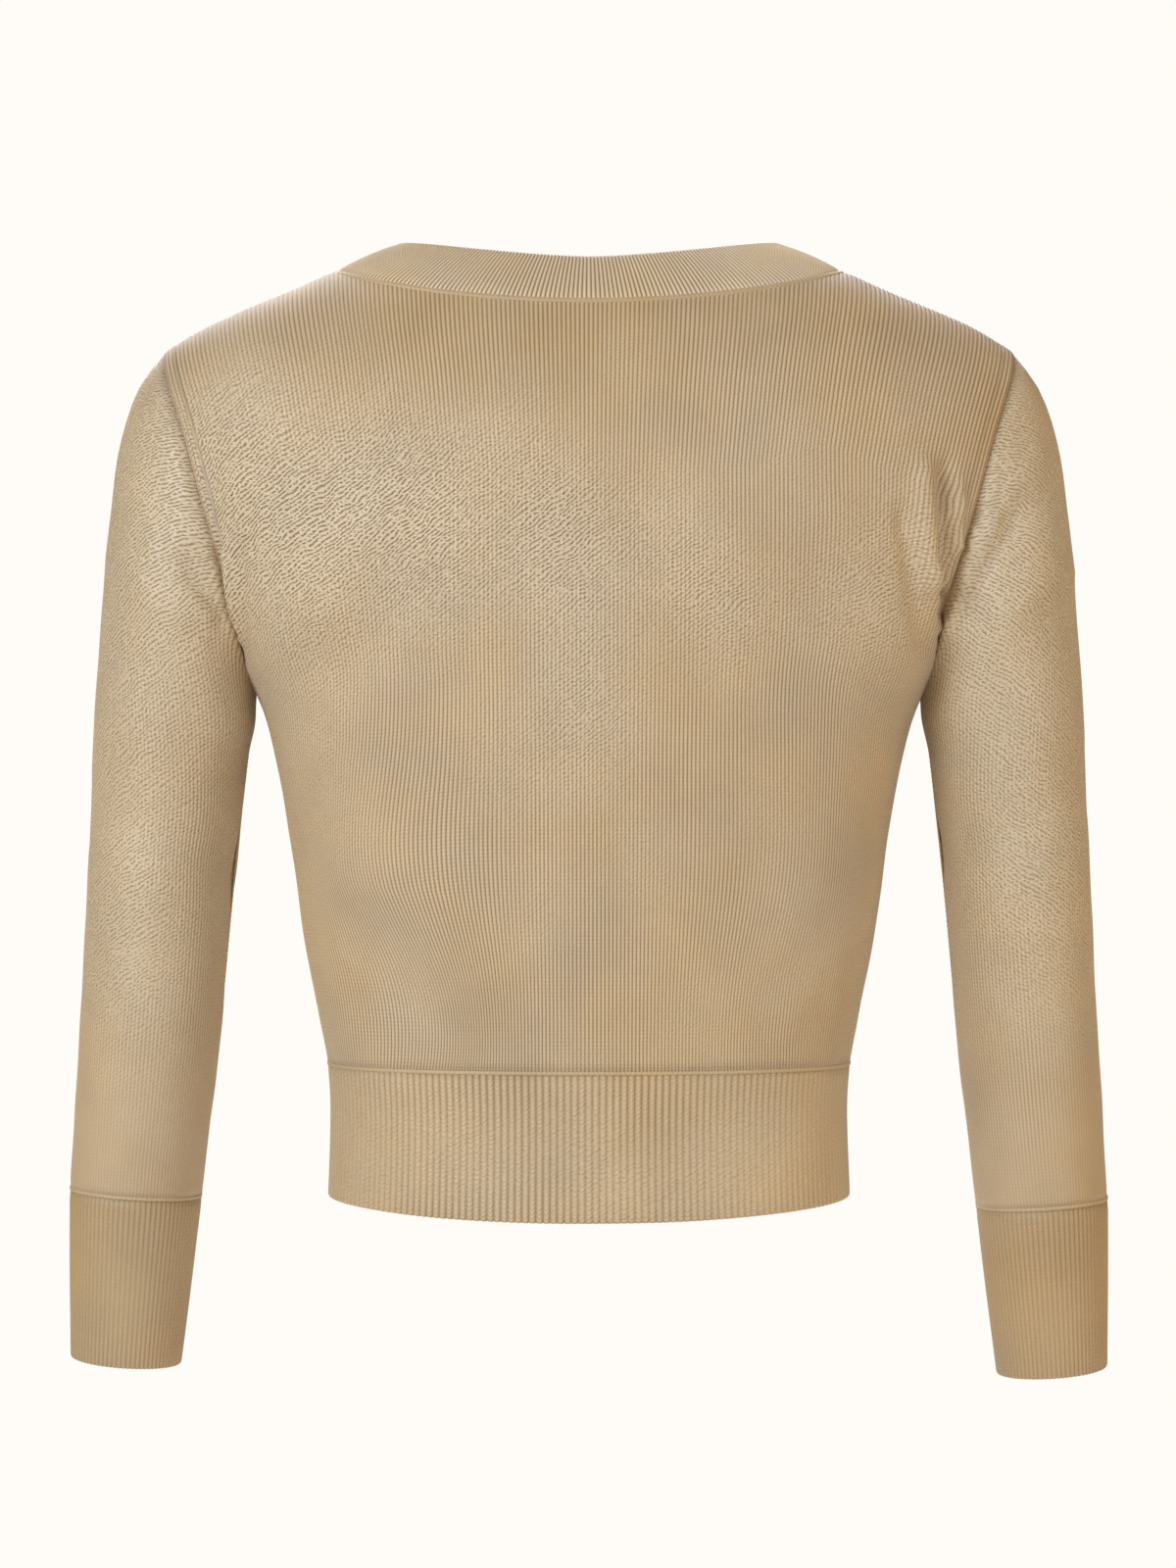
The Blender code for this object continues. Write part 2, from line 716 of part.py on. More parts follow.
def sleeve_ring(section, side):
    """A closed ring of points round the arm: the first is on the outer line, the next ones behind."""
    ring = []
    for angle in ring_angles():
        share = (1 - math.cos(angle)) / 2
        x = mix(section.outer_x, section.inner_x, share)
        z = mix(section.outer_z, section.inner_z, share)
        chord = mix(SHOULDER[-1].out, ARMHOLE[-1].out, share)
        x += section.bend * (armhole_out(armhole_height(angle)) - chord)
        y = section.half_depth * math.sin(angle) - section.forward
        ring.append(Vector((side.sign * x, y, z - sleeve_drop(z, side))))
    return ring


def ring_centre(ring):
    return sum(ring, Vector()) / len(ring)


def sleeve_axis(side):
    """The direction down the sleeve where its cuff is sewn on."""
    above, below = sleeve_ring(SLEEVE[-2], side), sleeve_ring(CUFF[1], side)
    return (ring_centre(below) - ring_centre(above)).normalized()


def make_sleeve(side):
    name = "sleeve_" + side.name
    seam = [armhole_seam_point(angle, side.sign) for angle in ring_angles()]
    grid = [[point.place + point.across * HALF_GAP for point in seam]]
    grid += [sleeve_ring(section, side) for section in SLEEVE]
    axis = sleeve_axis(side)
    grid[-1] = [point - axis * HALF_GAP for point in grid[-1]]
    normals = grid_normals(grid, True, [ring_centre(ring) for ring in grid])
    push_folds(name, grid, normals, True)
    rims = {(0, j): point.rim for j, point in enumerate(seam)}
    for j, normal in enumerate(normals[-1]):
        rims[len(grid) - 1, j] = flat_rim(normal, axis)
    inner = inner_grid(grid, normals, CLOTH_WALL, rims)
    marks = [float(n) for n in range(SLEEVE_SIDES)]
    make_wall(name, grid, inner, marks, True, CLOTH_COLOUR)


def make_cuff(side):
    grid = [sleeve_ring(section, side) for section in CUFF]
    axis = sleeve_axis(side)
    grid[0] = [point + axis * HALF_GAP for point in grid[0]]
    normals = grid_normals(grid, True, [ring_centre(ring) for ring in grid])
    rims = {(0, j): flat_rim(normal, axis) for j, normal in enumerate(normals[0])}
    inner = inner_grid(grid, normals, BAND_WALL, rims)
    marks = rib_marks(grid[0], CUFF_RIB, True)
    make_wall("cuff_" + side.name, ribbed(grid, normals, marks, True), inner, marks, True, BAND_COLOUR)


def main():
    for item in list(bpy.data.objects):
        bpy.data.objects.remove(item, do_unlink=True)
    make_back()
    make_hem_back()
    make_neck_band()
    for side in SIDES:
        make_front(side)
        make_hem_front(side)
        make_front_band(side)
        make_sleeve(side)
        make_cuff(side)


main()
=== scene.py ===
"""A cropped, open-fronted cardigan in fine rib knit, dressed over its CAD frame.

Each knitted piece is one closed cloth wall. A bmesh grid carries the outer face, with every rib raised on
it, a plainer grid carries the inner face, and the rims between them are bridged. Both grids lie on the same
worked-out surfaces as the solids they replace, in millimetres, with soft creases pushed in or out. Seams are
thin rows of linking stitches laid along the lines where pieces meet.

Axes: +Z up, +Y towards the back of the garment, +X towards its left sleeve.
"""
import math
from collections import namedtuple

import bmesh
import bpy
import numpy as np
from bpy.props import FloatProperty, FloatVectorProperty, PointerProperty
from bpy.types import Operator, Panel, PropertyGroup
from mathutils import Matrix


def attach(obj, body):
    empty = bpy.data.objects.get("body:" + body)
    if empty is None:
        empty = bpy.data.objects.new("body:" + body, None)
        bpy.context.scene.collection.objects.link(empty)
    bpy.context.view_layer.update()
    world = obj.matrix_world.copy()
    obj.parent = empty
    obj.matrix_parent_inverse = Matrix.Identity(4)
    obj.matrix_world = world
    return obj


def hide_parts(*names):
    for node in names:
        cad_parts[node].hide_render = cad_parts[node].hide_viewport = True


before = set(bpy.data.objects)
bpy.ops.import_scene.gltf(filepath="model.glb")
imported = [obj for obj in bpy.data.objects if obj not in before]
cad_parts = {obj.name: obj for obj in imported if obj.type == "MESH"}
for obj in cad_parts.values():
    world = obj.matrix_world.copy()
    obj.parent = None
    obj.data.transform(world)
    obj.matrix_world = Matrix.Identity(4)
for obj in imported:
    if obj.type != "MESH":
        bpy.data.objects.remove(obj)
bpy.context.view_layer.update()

bl_info = {
    "name": "Rib-knit Bolero",
    "version": (1, 0, 0),
    "blender": (4, 5, 0),
    "location": "3D View > Sidebar > Bolero",
    "description": "Knits the panels, bands, sleeves and seams of a cropped cardigan over its CAD frame",
    "category": "Add Mesh",
}

MM = 0.001

# ---------------------------------------------------------------- the cut, in millimetres

# the back neck, and the band's free edge above it
NECK_HALF = 111.0
NECK_DROP = 18.5
NECK_CURVE = 0.75
NECK_TURN = math.radians(76)
BAND_TOP_HALF = 83.0
BAND_TOP_DEPTH = 36.0
BAND_SIDE_HEIGHT = 12.6
BAND_BACK_HEIGHT = 2.9
BAND_RISE_CURVE = 1.6
BAND_WIDTH = 29.5
# the V and the straight front edges
FRONT_EDGE_OUT = 44.0
FRONT_EDGE_CURVE = 1.7
V_DEPTH = 170.0
# how far below the shoulder seam the front band has turned from the shoulder's direction to the body's, and has
# its full width
BAND_TURN = 14.0
BAND_WIDENS = 8.0
# the armholes
SHOULDER_POINT = -34.5
UNDERARM = -181.5
ARMHOLE_DEPTH = 54.0
# the hem
HEM_SEAM = -346.0
HEM_EDGE = -403.0
HEM_BACK_DIP = 5.0
# half the space between two pieces along a seam
HALF_GAP = 0.15

# how square the body's sections are, and how far the shoulders roll over in its middle and at the armholes
BODY_ROUND = 2.4
ROLL_MIDDLE = 110.0
ROLL_ARMHOLE = 74.0

# rows down each piece, and columns for one rib of the fine knit and of the bands
ARMHOLE_ROWS = 42
SIDE_ROWS = 32
SLEEVE_ROWS = 70
HEM_ROWS = 12
CUFF_ROWS = 14
BAND_ROWS = 9
FINE_STEPS = 4
BAND_STEPS = 8
# how broad the valleys between ribs are: the lower, the narrower
FINE_FLATNESS = 0.8
BAND_FLATNESS = 0.5
# the share of a rib's height that is lost where the cloth opens into crepe, and where it lies smooth
CREPE_FLATTENS = 0.75
SMOOTH_FLATTENS = 0.8

# how far from a sewn edge creases, fine ribs and band ribs come up to their full height
CREASE_FADE = 6.0
FINE_RIB_FADE = 3.0
BAND_RIB_FADE = 2.5
# the groove along an armhole seam: its depth at the shoulder point, what it gains a quarter of the way down
# and what it gains again by the armpit; its width above, and what that gains by the armpit
GROOVE_DEPTH = 0.6
GROOVE_SIDE_GAIN = 0.8
GROOVE_ARMPIT_GAIN = 3.6
GROOVE_WIDTH = 1.1
GROOVE_WIDTH_GAIN = 1.7

# wales of the fine rib on half the body and round a sleeve: they are about 1.7 mm apart, where real ones are
# about 1.2 mm, because finer ones are too fine to show
HALF_BODY_WALES = 107
SLEEVE_WALES = 130

# the height whose section sets how the wales lie above it
WALE_HEIGHT = -108.0
# the cloth that the wales take up in the middle of the body, where they hang straight
WALE_SPAN = 182.0
# how late the other wales are drawn together or apart on the way to the side
WALE_SPREAD = 1.7
# the height round which the wales of the lower back lean inwards on their way down, how far above and below it
# they do so, by how much on the left and on the right, and how near to the side they lean most
LEAN_HEIGHT = -292.0
LEAN_REACH = 34.0
LEAN_LEFT = 10.0
LEAN_RIGHT = 4.0
LEAN_CURVE = 1.6
# how strongly the wales of a sleeve gather towards the shoulder at its seam, and how far down it they do so
WALE_GATHER = 0.5
WALE_GATHER_LENGTH = 130.0
# how flat the ribs are drawn where the sleeve head is eased into the armhole, and how far down that reaches
EASED_RIB = 0.25
EASED_LENGTH = 70.0


def rows_of(kind, *rows):
    """A table's rows, with a name for each of their values."""
    return tuple(kind(*row) for row in rows)


BodySection = namedtuple("BodySection", "height half_width back_depth front_depth")
BODY = rows_of(
    BodySection,
    (20.0, 200.0, 84.0, 68.0), (-60.0, 188.0, 92.0, 79.0), (-120.0, 166.0, 95.0, 97.0),
    (-181.5, 146.4, 94.0, 107.0), (-198.0, 140.9, 92.5, 107.0),
    (-224.0, 134.7, 89.5, 104.0), (-250.0, 130.4, 86.0, 99.5),
    (-289.0, 125.0, 81.5, 92.5), (-328.0, 117.7, 78.5, 87.0), (-346.0, 114.4, 77.5, 85.5),
    (-367.0, 113.1, 77.0, 85.0), (-410.0, 114.4, 78.0, 86.0),
)

ShoulderPoint = namedtuple("ShoulderPoint", "out height")
SHOULDER = rows_of(
    ShoulderPoint,
    (0.0, 12.0), (40.0, 9.5), (80.0, 5.0), (111.0, 0.0), (128.0, -6.9), (153.0, -17.2),
    (168.0, -24.1), (186.0, -34.5),
)

ArmholePoint = namedtuple("ArmholePoint", "height out")
ARMHOLE = rows_of(
    ArmholePoint,
    (-34.5, 186.0), (-50.0, 181.8), (-73.0, 173.8), (-106.0, 164.5), (-140.0, 155.0),
    (-165.0, 149.4), (-181.5, 146.4),
)

# rings of a sleeve, from the armhole down
SleeveSection = namedtuple("SleeveSection", "outer_x outer_z inner_x inner_z half_depth forward bend")
SLEEVE = rows_of(
    SleeveSection,
    (186.0, -34.5, 146.4, -181.5, 54.0, 0.0, 1.0),
    (197.5, -51.0, 146.6, -183.2, 53.5, 0.0, 0.5),
    (205.7, -76.0, 147.0, -186.0, 52.0, 0.0, 0.2),
    (210.1, -108.0, 147.7, -190.5, 50.0, 0.0, 0.0),
    (213.4, -146.0, 148.6, -200.0, 47.5, 0.0, 0.0),
    (216.6, -185.0, 150.9, -219.0, 45.5, 0.0, 0.0),
    (218.5, -224.0, 154.0, -246.0, 44.0, 0.0, 0.0),
    (220.2, -263.0, 157.0, -275.0, 42.5, 0.0, 0.0),
    (222.0, -302.0, 160.2, -308.0, 41.0, 1.0, 0.0),
    (224.5, -340.0, 163.8, -344.0, 39.0, 3.0, 0.0),
    (226.9, -375.0, 168.3, -379.0, 36.0, 7.0, 0.0),
    (228.9, -402.0, 171.6, -406.0, 33.5, 10.0, 0.0),
)
CUFF = rows_of(
    SleeveSection,
    (228.9, -402.0, 171.6, -406.0, 33.5, 10.0, 0.0),
    (229.6, -440.0, 176.5, -444.0, 31.0, 14.5, 0.0),
    (229.6, -476.5, 181.5, -480.5, 29.0, 18.0, 0.0),
)

Side = namedtuple("Side", "name sign drop")
SIDES = (Side("left", 1, 0.0), Side("right", -1, 4.5))
SLEEVE_DROP_START = -185.0
# how far down a ring near the sleeve's lower end and one near the cuff's middle lie
SLEEVE_LOW = 377.0
CUFF_MIDDLE = 442.0

# soft ridges, and troughs where the height is negative, along lines in the view from behind; a face of 1 is
# behind and -1 in front
Fold = namedtuple("Fold", "face from_x from_z to_x to_z width height")
FOLDS = {
    "back": rows_of(
        Fold,
        # towards the armpits and over the shoulder blades
        (1, 138, -168, 92, -122, 15, 2.2), (1, 126, -190, 86, -158, 13, -1.8),
        (1, 108, -172, 54, -178, 15, -1.6), (1, -48, -168, -74, -190, 14, -1.6),
        (1, 100, -66, 90, -116, 24, 2.4), (1, -44, -112, -64, -150, 18, 2.0),
        (1, -138, -170, -104, -112, 14, 2.4), (1, -124, -196, -80, -170, 14, -1.8),
        # down the sides of the lower back
        (1, 96, -262, 52, -318, 16, 1.8), (1, -92, -270, -60, -322, 17, 1.6),
        # upright ridges and troughs beside the armhole seams
        (1, -141, -92, -145, -136, 4.6, 4.4), (1, -146, -134, -151, -158, 2.6, 2.6),
        (1, -150, -92, -152, -150, 3.4, -5.0), (1, -132, -112, -141, -164, 4.0, -2.4),
        (1, -151, -140, -151, -160, 2.6, -2.0), (1, -148, -116, -158, -104, 2.8, 1.8),
        (1, -148, -132, -157, -121, 2.8, 1.8), (1, -148, -146, -155, -137, 2.8, 1.6),
        (1, -157, -96, -158, -122, 2, 1.8), (1, 159, -118, 157, -142, 1.8, -3.0),
        (1, 155, -124, 152, -160, 2.2, 2.8), (1, 149, -124, 146, -168, 3.2, -2.0),
        # small creases on the lower back
        (1, 116, -211, 99, -218, 5, 0.9), (1, 104, -264, 66, -268, 6, 0.8),
        (1, -104, -300, -84, -322, 7, 0.8),
    ),
    "front_left": rows_of(
        Fold,
        (-1, 136, -170, 84, -138, 15, 2.4), (-1, 104, -272, 66, -322, 16, 1.8),
    ),
    "front_right": rows_of(
        Fold,
        (-1, -136, -172, -90, -130, 15, 2.4), (-1, -100, -264, -70, -320, 16, 1.8),
    ),
    "sleeve_left": rows_of(
        Fold,
        # across the sleeve, then fanning out from the armpit
        (1, 156, -196, 190, -132, 12, 2.4), (1, 160, -262, 206, -236, 14, -2.0),
        (-1, 164, -290, 212, -318, 14, -2.4), (1, 170, -131, 157, -152, 4, -2.4),
        (1, 164, -152, 186, -122, 5, 1.8), (1, 176, -152, 202, -126, 6, 1.6),
    ),
    "sleeve_right": rows_of(
        Fold,
        # across the sleeve, then fanning out from the armpit
        (1, -156, -192, -196, -122, 12, 2.6), (1, -164, -252, -208, -222, 14, -2.0),
        (-1, -164, -286, -212, -310, 14, -2.4), (1, -155, -158, -172, -110, 3.5, 2.4),
        (1, -165, -122, -193, -82, 4.5, 2.2), (1, -176, -125, -204, -108, 4, 1.8),
        (1, -180, -149, -206, -131, 5, 1.8), (1, -161, -148, -184, -106, 3.5, -2.4),
    ),
}

# places where the cloth is stretched over the wearer's form, so that its ribs open into a fine crepe grain, or
# lie smooth; a face of 0 is both behind and in front. Where the crepe rises, the colour is also painted paler
# and cooler, as painted highlight, and where the cloth lies smooth it takes one tone, painted darker on the
# fine rib, as painted shade.
Patch = namedtuple("Patch", "face x z across down crepe smooth")
PATCHES = {
    "back": rows_of(
        Patch,
        (1, 128, -116, 52, 54, 0.9, 0.1), (1, 160, -110, 26, 60, 0.8, 0.1),
        (1, 72, -112, 42, 40, 0.75, 0.0), (1, 12, -112, 34, 34, 0.6, 0.0),
        (1, -52, -142, 40, 30, 0.5, 0.0), (1, 8, -190, 30, 60, 0.4, 0.0),
        (1, -128, -140, 24, 44, 0.7, 0.3), (1, 118, -226, 16, 40, 0.4, 0.3),
        (1, -90, -290, 50, 70, 0.1, 0.3),
    ),
    "front_left": rows_of(
        Patch,
        (-1, 90, -150, 60, 60, 0.7, 0.0),
    ),
    "front_right": rows_of(
        Patch,
        (-1, -90, -150, 60, 60, 0.7, 0.0),
    ),
    "sleeve_left": rows_of(
        Patch,
        (0, 205, -130, 46, 90, 0.9, 0.35), (0, 174, -96, 26, 64, 0.9, 0.2),
        (0, 212, -272, 44, 82, 0.8, 0.4), (0, 208, -400, 60, 74, 0.0, 0.9),
    ),
    "sleeve_right": rows_of(
        Patch,
        (0, -196, -120, 46, 80, 0.9, 0.5), (0, -172, -110, 26, 64, 0.9, 0.3),
        (0, -204, -258, 50, 76, 0.75, 0.4), (0, -206, -405, 60, 80, 0.0, 0.9),
    ),
    "hem_back": rows_of(
        Patch,
        (1, 105, -375, 34, 90, 0.3, 0.65), (1, -100, -375, 52, 90, 0.3, 0.75),
        (1, 0, -385, 90, 26, 0.3, 0.35),
    ),
    "cuff_left": rows_of(
        Patch,
        (0, 212, -440, 90, 90, 0.0, 0.7),
    ),
    "cuff_right": rows_of(
        Patch,
        (0, -212, -440, 90, 90, 0.0, 0.65),
    ),
}


# ---------------------------------------------------------------- curves and surfaces

def mix(start, end, share):
    return start + (end - start) * share


def smooth_step(share):
    share = np.clip(share, 0.0, 1.0)
    return share * share * (3 - 2 * share)


def resample(values, along, wanted):
    """Rows of three values, given along a line, at the wanted places on it."""
    return np.stack([np.interp(wanted, along, values[:, axis]) for axis in range(3)], axis=-1)


def unit(vectors):
    return vectors / np.maximum(np.linalg.norm(vectors, axis=-1, keepdims=True), 1e-12)


def point(x, y, z):
    return np.stack(np.broadcast_arrays(x, y, z), axis=-1).astype(float)


def dot(first, second):
    return np.sum(first * second, axis=-1, keepdims=True)


def smooth_curve(keys, values, key):
    """Values at keys, on a smooth curve through the given ones."""
    keys, values = np.asarray(keys, float), np.asarray(values, float)
    index = np.arange(len(keys))
    before, after = np.maximum(index - 1, 0), np.minimum(index + 1, len(keys) - 1)
    slopes = (values[after] - values[before]) / (keys[after] - keys[before])
    key = np.clip(key, keys[0], keys[-1])
    start = np.clip(np.searchsorted(keys, key, side="right") - 1, 0, len(keys) - 2)
    span = keys[start + 1] - keys[start]
    share = (key - keys[start]) / span
    bend_in = share * (1 - share) ** 2 * span * slopes[start]
    bend_out = share ** 2 * (share - 1) * span * slopes[start + 1]
    return mix(values[start], values[start + 1], smooth_step(share)) + bend_in + bend_out


def read_curve(rows, key_name, value_name, key):
    pairs = sorted((getattr(row, key_name), getattr(row, value_name)) for row in rows)
    return smooth_curve(*zip(*pairs), key)


def shoulder_height(x):
    return read_curve(SHOULDER, "out", "height", np.abs(x))


def shoulder_roll(x, z):
    """0 on the shoulder line, rising along a quarter circle to 1 below it."""
    radius = mix(ROLL_MIDDLE, ROLL_ARMHOLE, smooth_step(np.abs(x) / SHOULDER[-1].out))
    drop = np.clip((shoulder_height(x) - z) / radius, 0.0, 1.0)
    return np.sqrt(1 - (1 - drop) ** 2)


def armhole_height(angle):
    """Height on the armhole seam: angle 0 is the shoulder point, pi the underarm."""
    return mix(SHOULDER_POINT, UNDERARM, (1 - np.cos(angle)) / 2)


def armhole_out(z):
    return read_curve(ARMHOLE, "height", "out", z)


def armhole_depth(z):
    share = np.clip((SHOULDER_POINT - z) / (SHOULDER_POINT - UNDERARM), 0.0, 1.0)
    return ARMHOLE_DEPTH * 2 * np.sqrt(share * (1 - share))


def body_half_width(z, depth):
    """Half width of the full section, which runs on under the sleeve so that it meets the armhole seam."""
    just_below = np.minimum(z, SHOULDER_POINT - 0.5)
    out = armhole_out(just_below)
    edge = armhole_depth(just_below) / (depth * shoulder_roll(out, just_below))
    above = out / (1 - edge ** BODY_ROUND) ** (1 / BODY_ROUND)
    return np.where(z <= UNDERARM, read_curve(BODY, "height", "half_width", z), above)


def body_y(x, z, face):
    """Depth of the body's surface; face is 1 for the back and -1 for the front."""
    depth = read_curve(BODY, "height", "back_depth" if face > 0 else "front_depth", z)
    share = np.minimum(np.abs(x) / body_half_width(z, depth), 1.0)
    return face * depth * (1 - share ** BODY_ROUND) ** (1 / BODY_ROUND) * shoulder_roll(x, z)


def on_body(x, z, face):
    return point(x, body_y(x, z, face), z)


def body_normals(grid, face):
    """Outward directions of the body's surface, from how its depth changes around each point."""
    x, z = grid[..., 0], grid[..., 2]
    step = 0.5
    slope_x = (body_y(x + step, z, face) - body_y(x - step, z, face)) / (2 * step)
    slope_z = (body_y(x, z + step, face) - body_y(x, z - step, face)) / (2 * step)
    return unit(face * point(-slope_x, 1.0, -slope_z))


# how far out the side seam ends at the hem
HEM_SIDE = float(body_half_width(HEM_SEAM, 1.0))


def row_heights():
    """Heights of the panels' rows where they end on the armhole and on the side seam."""
    armhole = armhole_height(np.linspace(0, np.pi, ARMHOLE_ROWS + 1))
    return np.concatenate([armhole, np.linspace(UNDERARM, HEM_SEAM, SIDE_ROWS + 1)[1:]])


def row_out(z):
    return np.where(z >= UNDERARM, armhole_out(z), body_half_width(np.minimum(z, UNDERARM), 1.0))


def row_share(z):
    """How far down a row lies: 0 at the shoulder seam, 1 at the hem seam."""
    return (SHOULDER_POINT - z) / (SHOULDER_POINT - HEM_SEAM)


def neck_height(x):
    return -NECK_DROP * (1 - np.minimum(np.abs(x) / NECK_HALF, 1.0) ** 2) ** NECK_CURVE


def front_edge_out(z):
    share = np.minimum(-z / V_DEPTH, 1.0)
    return FRONT_EDGE_OUT + (NECK_HALF - FRONT_EDGE_OUT) * (1 - share) ** FRONT_EDGE_CURVE


def lengths(points, axis=0):
    """Distance along a line of points, or along each line of a grid."""
    steps = np.linalg.norm(np.diff(points, axis=axis), axis=-1)
    start = np.zeros_like(np.take(steps, [0], axis=axis))
    return np.cumsum(np.concatenate([start, steps], axis=axis), axis=axis)


# ---------------------------------------------------------------- seams
# A seam has its places, the directions that cross it out of the body, and the directions of its rim, from the
# outer face of the cloth to the inner one.

Seam = namedtuple("Seam", "places across rims")


def seam_along(places, crossings, tangents, inside):
    across = unit(crossings - tangents * dot(crossings, tangents))
    rims = unit(np.cross(tangents, across))
    return Seam(places, across, np.where(dot(rims, inside - places) < 0, -rims, rims))


def tangents_of(places, first, last):
    tangents = unit(np.gradient(places, axis=0))
    tangents[0], tangents[-1] = first, last
    return tangents


def armhole_seam(angles, sign):
    """Angles between 0 and pi lie behind, the others in front."""
    z = armhole_height(angles)
    upper, lower = np.minimum(z + 0.5, SHOULDER_POINT), np.maximum(z - 0.5, UNDERARM)
    down = unit(point(armhole_out(lower) - armhole_out(upper), 0.0, lower - upper))
    rims = down * np.cos(angles)[:, None] * 2 / (SHOULDER_POINT - UNDERARM)
    rims[:, 1] = -np.sin(angles) / ARMHOLE_DEPTH
    places = point(armhole_out(z), ARMHOLE_DEPTH * np.sin(angles), z)
    across = point(-down[:, 2], 0.0, down[:, 0])
    mirror = np.array([sign, 1.0, 1.0])
    return Seam(places * mirror, across * mirror, unit(rims) * mirror)


def sunk_armhole(angles, sign):
    """The armhole seam at the bottom of its groove."""
    seam = armhole_seam(angles, sign)
    return Seam(seam.places + seam.rims * armhole_groove(angles)[:, None], seam.across, seam.rims)


def band_top(places):
    """The upper edge of the neck band above the back neck seam."""
    out = np.clip(places[..., 0] / NECK_HALF, -1, 1)
    height = mix(BAND_BACK_HEIGHT, BAND_SIDE_HEIGHT, np.abs(out) ** BAND_RISE_CURVE)
    return point(BAND_TOP_HALF * out, BAND_TOP_DEPTH * np.sqrt(1 - out * out), height)


def neck_seam():
    """From one shoulder round the back neck to the other, with the band's free edge."""
    x = NECK_HALF * np.sin(np.linspace(-NECK_TURN, NECK_TURN, 601)) / math.sin(NECK_TURN)
    places = on_body(x, neck_height(x), 1)
    edges = band_top(places)
    tangents = tangents_of(places, (0, 1, 0), (0, -1, 0))
    seam = seam_along(places, unit(edges - places), tangents, np.array([0.0, 0.0, -120.0]))
    return seam, edges


def front_seam(sign):
    """From the shoulder down the V and the front edge to the hem's edge, with the band's free edge."""
    # places lie closer together near the shoulder, where the band turns
    z = HEM_EDGE * np.linspace(0, 1, 900) ** 1.5
    places = on_body(sign * front_edge_out(z), z, -1)
    natural = unit(on_body(places[:, 0] - sign, z, -1) - places)
    shoulder = unit(np.array([-sign * (NECK_HALF - BAND_TOP_HALF), 0.0, BAND_SIDE_HEIGHT]))
    share = smooth_step(-z / BAND_TURN)[:, None]
    tangents = tangents_of(places, (0, -1, 0), (0, 0, -1))
    inside = np.array([sign * NECK_HALF * 0.7, 0.0, -200.0])
    seam = seam_along(places, unit(mix(shoulder, natural, share)), tangents, inside)
    corner = np.array([sign * BAND_TOP_HALF, 0.0, BAND_SIDE_HEIGHT])
    return seam, mix(corner, places + seam.across * BAND_WIDTH, smooth_step(-z / BAND_WIDENS + 0.02)[:, None])


# ---------------------------------------------------------------- creases and ribs

def fold_height(piece, grid):
    """How far the creases of a piece lift each point of a grid."""
    x, y, z = np.moveaxis(grid, -1, 0)
    total = np.zeros(grid.shape[:-1])
    for fold in FOLDS.get(piece, ()):
        along_x, along_z = fold.to_x - fold.from_x, fold.to_z - fold.from_z
        share = ((x - fold.from_x) * along_x + (z - fold.from_z) * along_z) / (along_x ** 2 + along_z ** 2)
        near = np.clip(share, 0.0, 1.0)
        aside = np.hypot(x - fold.from_x - near * along_x, z - fold.from_z - near * along_z) / fold.width
        total += np.where(fold.face * y > 0, fold.height * np.exp(-aside * aside), 0.0)
    return total


def armhole_groove(angles, aside=0.0):
    """How deep the armhole seam lies, and the cloth aside of it: fine and shallow over the shoulder, and
    tucked in broadly behind and before the armpit."""
    down = np.abs(angles) / np.pi
    low = smooth_step((down - 0.5) / 0.22) * smooth_step((1.0 - down) / 0.06)
    depth = GROOVE_DEPTH + GROOVE_SIDE_GAIN * smooth_step(down / 0.25) + GROOVE_ARMPIT_GAIN * low
    return depth * np.exp(-(aside / (GROOVE_WIDTH + GROOVE_WIDTH_GAIN * low)) ** 2)


def unevenness(grid):
    """A slow wander of the cloth by about half a millimetre, as knitwear has after handling."""
    x, y, z = np.moveaxis(grid, -1, 0)
    return (0.26 * np.sin(x / 17 + z / 29 + 0.7) * np.sin(z / 21 - y / 25 + 1.9)
            + 0.16 * np.sin(x / 9 - z / 13 + 2.3) * np.sin(z / 11 + y / 8 + 0.4))


def softened(piece, grid):
    """How far the ribs of a piece have opened into a crepe grain, and how far they lie smooth: two shares,
    each 0 where the ribs are crisp."""
    x, y, z = np.moveaxis(grid, -1, 0)
    left = np.ones((2,) + grid.shape[:-1])
    for patch in PATCHES.get(piece.removesuffix("_knit"), ()):
        reach = np.exp(-((x - patch.x) / patch.across) ** 2 - ((z - patch.z) / patch.down) ** 2)
        reach = np.where(patch.face * y > -5, reach, 0.0)
        left *= 1 - np.multiply.outer((patch.crepe, patch.smooth), reach)
    ripple = 0.12 * np.sin(x / 13 + z / 37 + 1.1) * np.sin(z / 17 - x / 29 + 0.3)
    return np.clip(1 - left + ripple, 0.0, 1.0)


def rib_height(piece, grid, columns, steps, flatness):
    """The height of the ribs on each point of a grid, as a share of a crisp rib's."""
    crepe, smooth = softened(piece, grid)
    return rib_wave(columns, steps, flatness) * (1 - CREPE_FLATTENS * crepe) * (1 - SMOOTH_FLATTENS * smooth)


def edge_share(grid, reach, closed):
    """0 on the sewn edges of a grid, rising to 1 within reach of them."""
    down = lengths(grid, axis=0)
    nearest = np.minimum(down, down[-1] - down)
    if not closed:
        aside = lengths(grid, axis=1)
        nearest = np.minimum(nearest, np.minimum(aside, aside[:, -1:] - aside))
    return smooth_step(nearest / reach)


def rib_wave(columns, steps, flatness):
    """The height of a rib along a row of columns: crests of 1 between valleys of 0, which are the narrower
    the lower the flatness is."""
    return np.abs(np.sin(np.pi * np.arange(columns) / steps)) ** flatness


def flat_rims(normals, across):
    """Rim directions of an edge that lies in a plane: the way in, kept in that plane."""
    across = np.asarray(across, float)
    return unit(across * dot(normals, across) - normals)


# ---------------------------------------------------------------- cloth walls

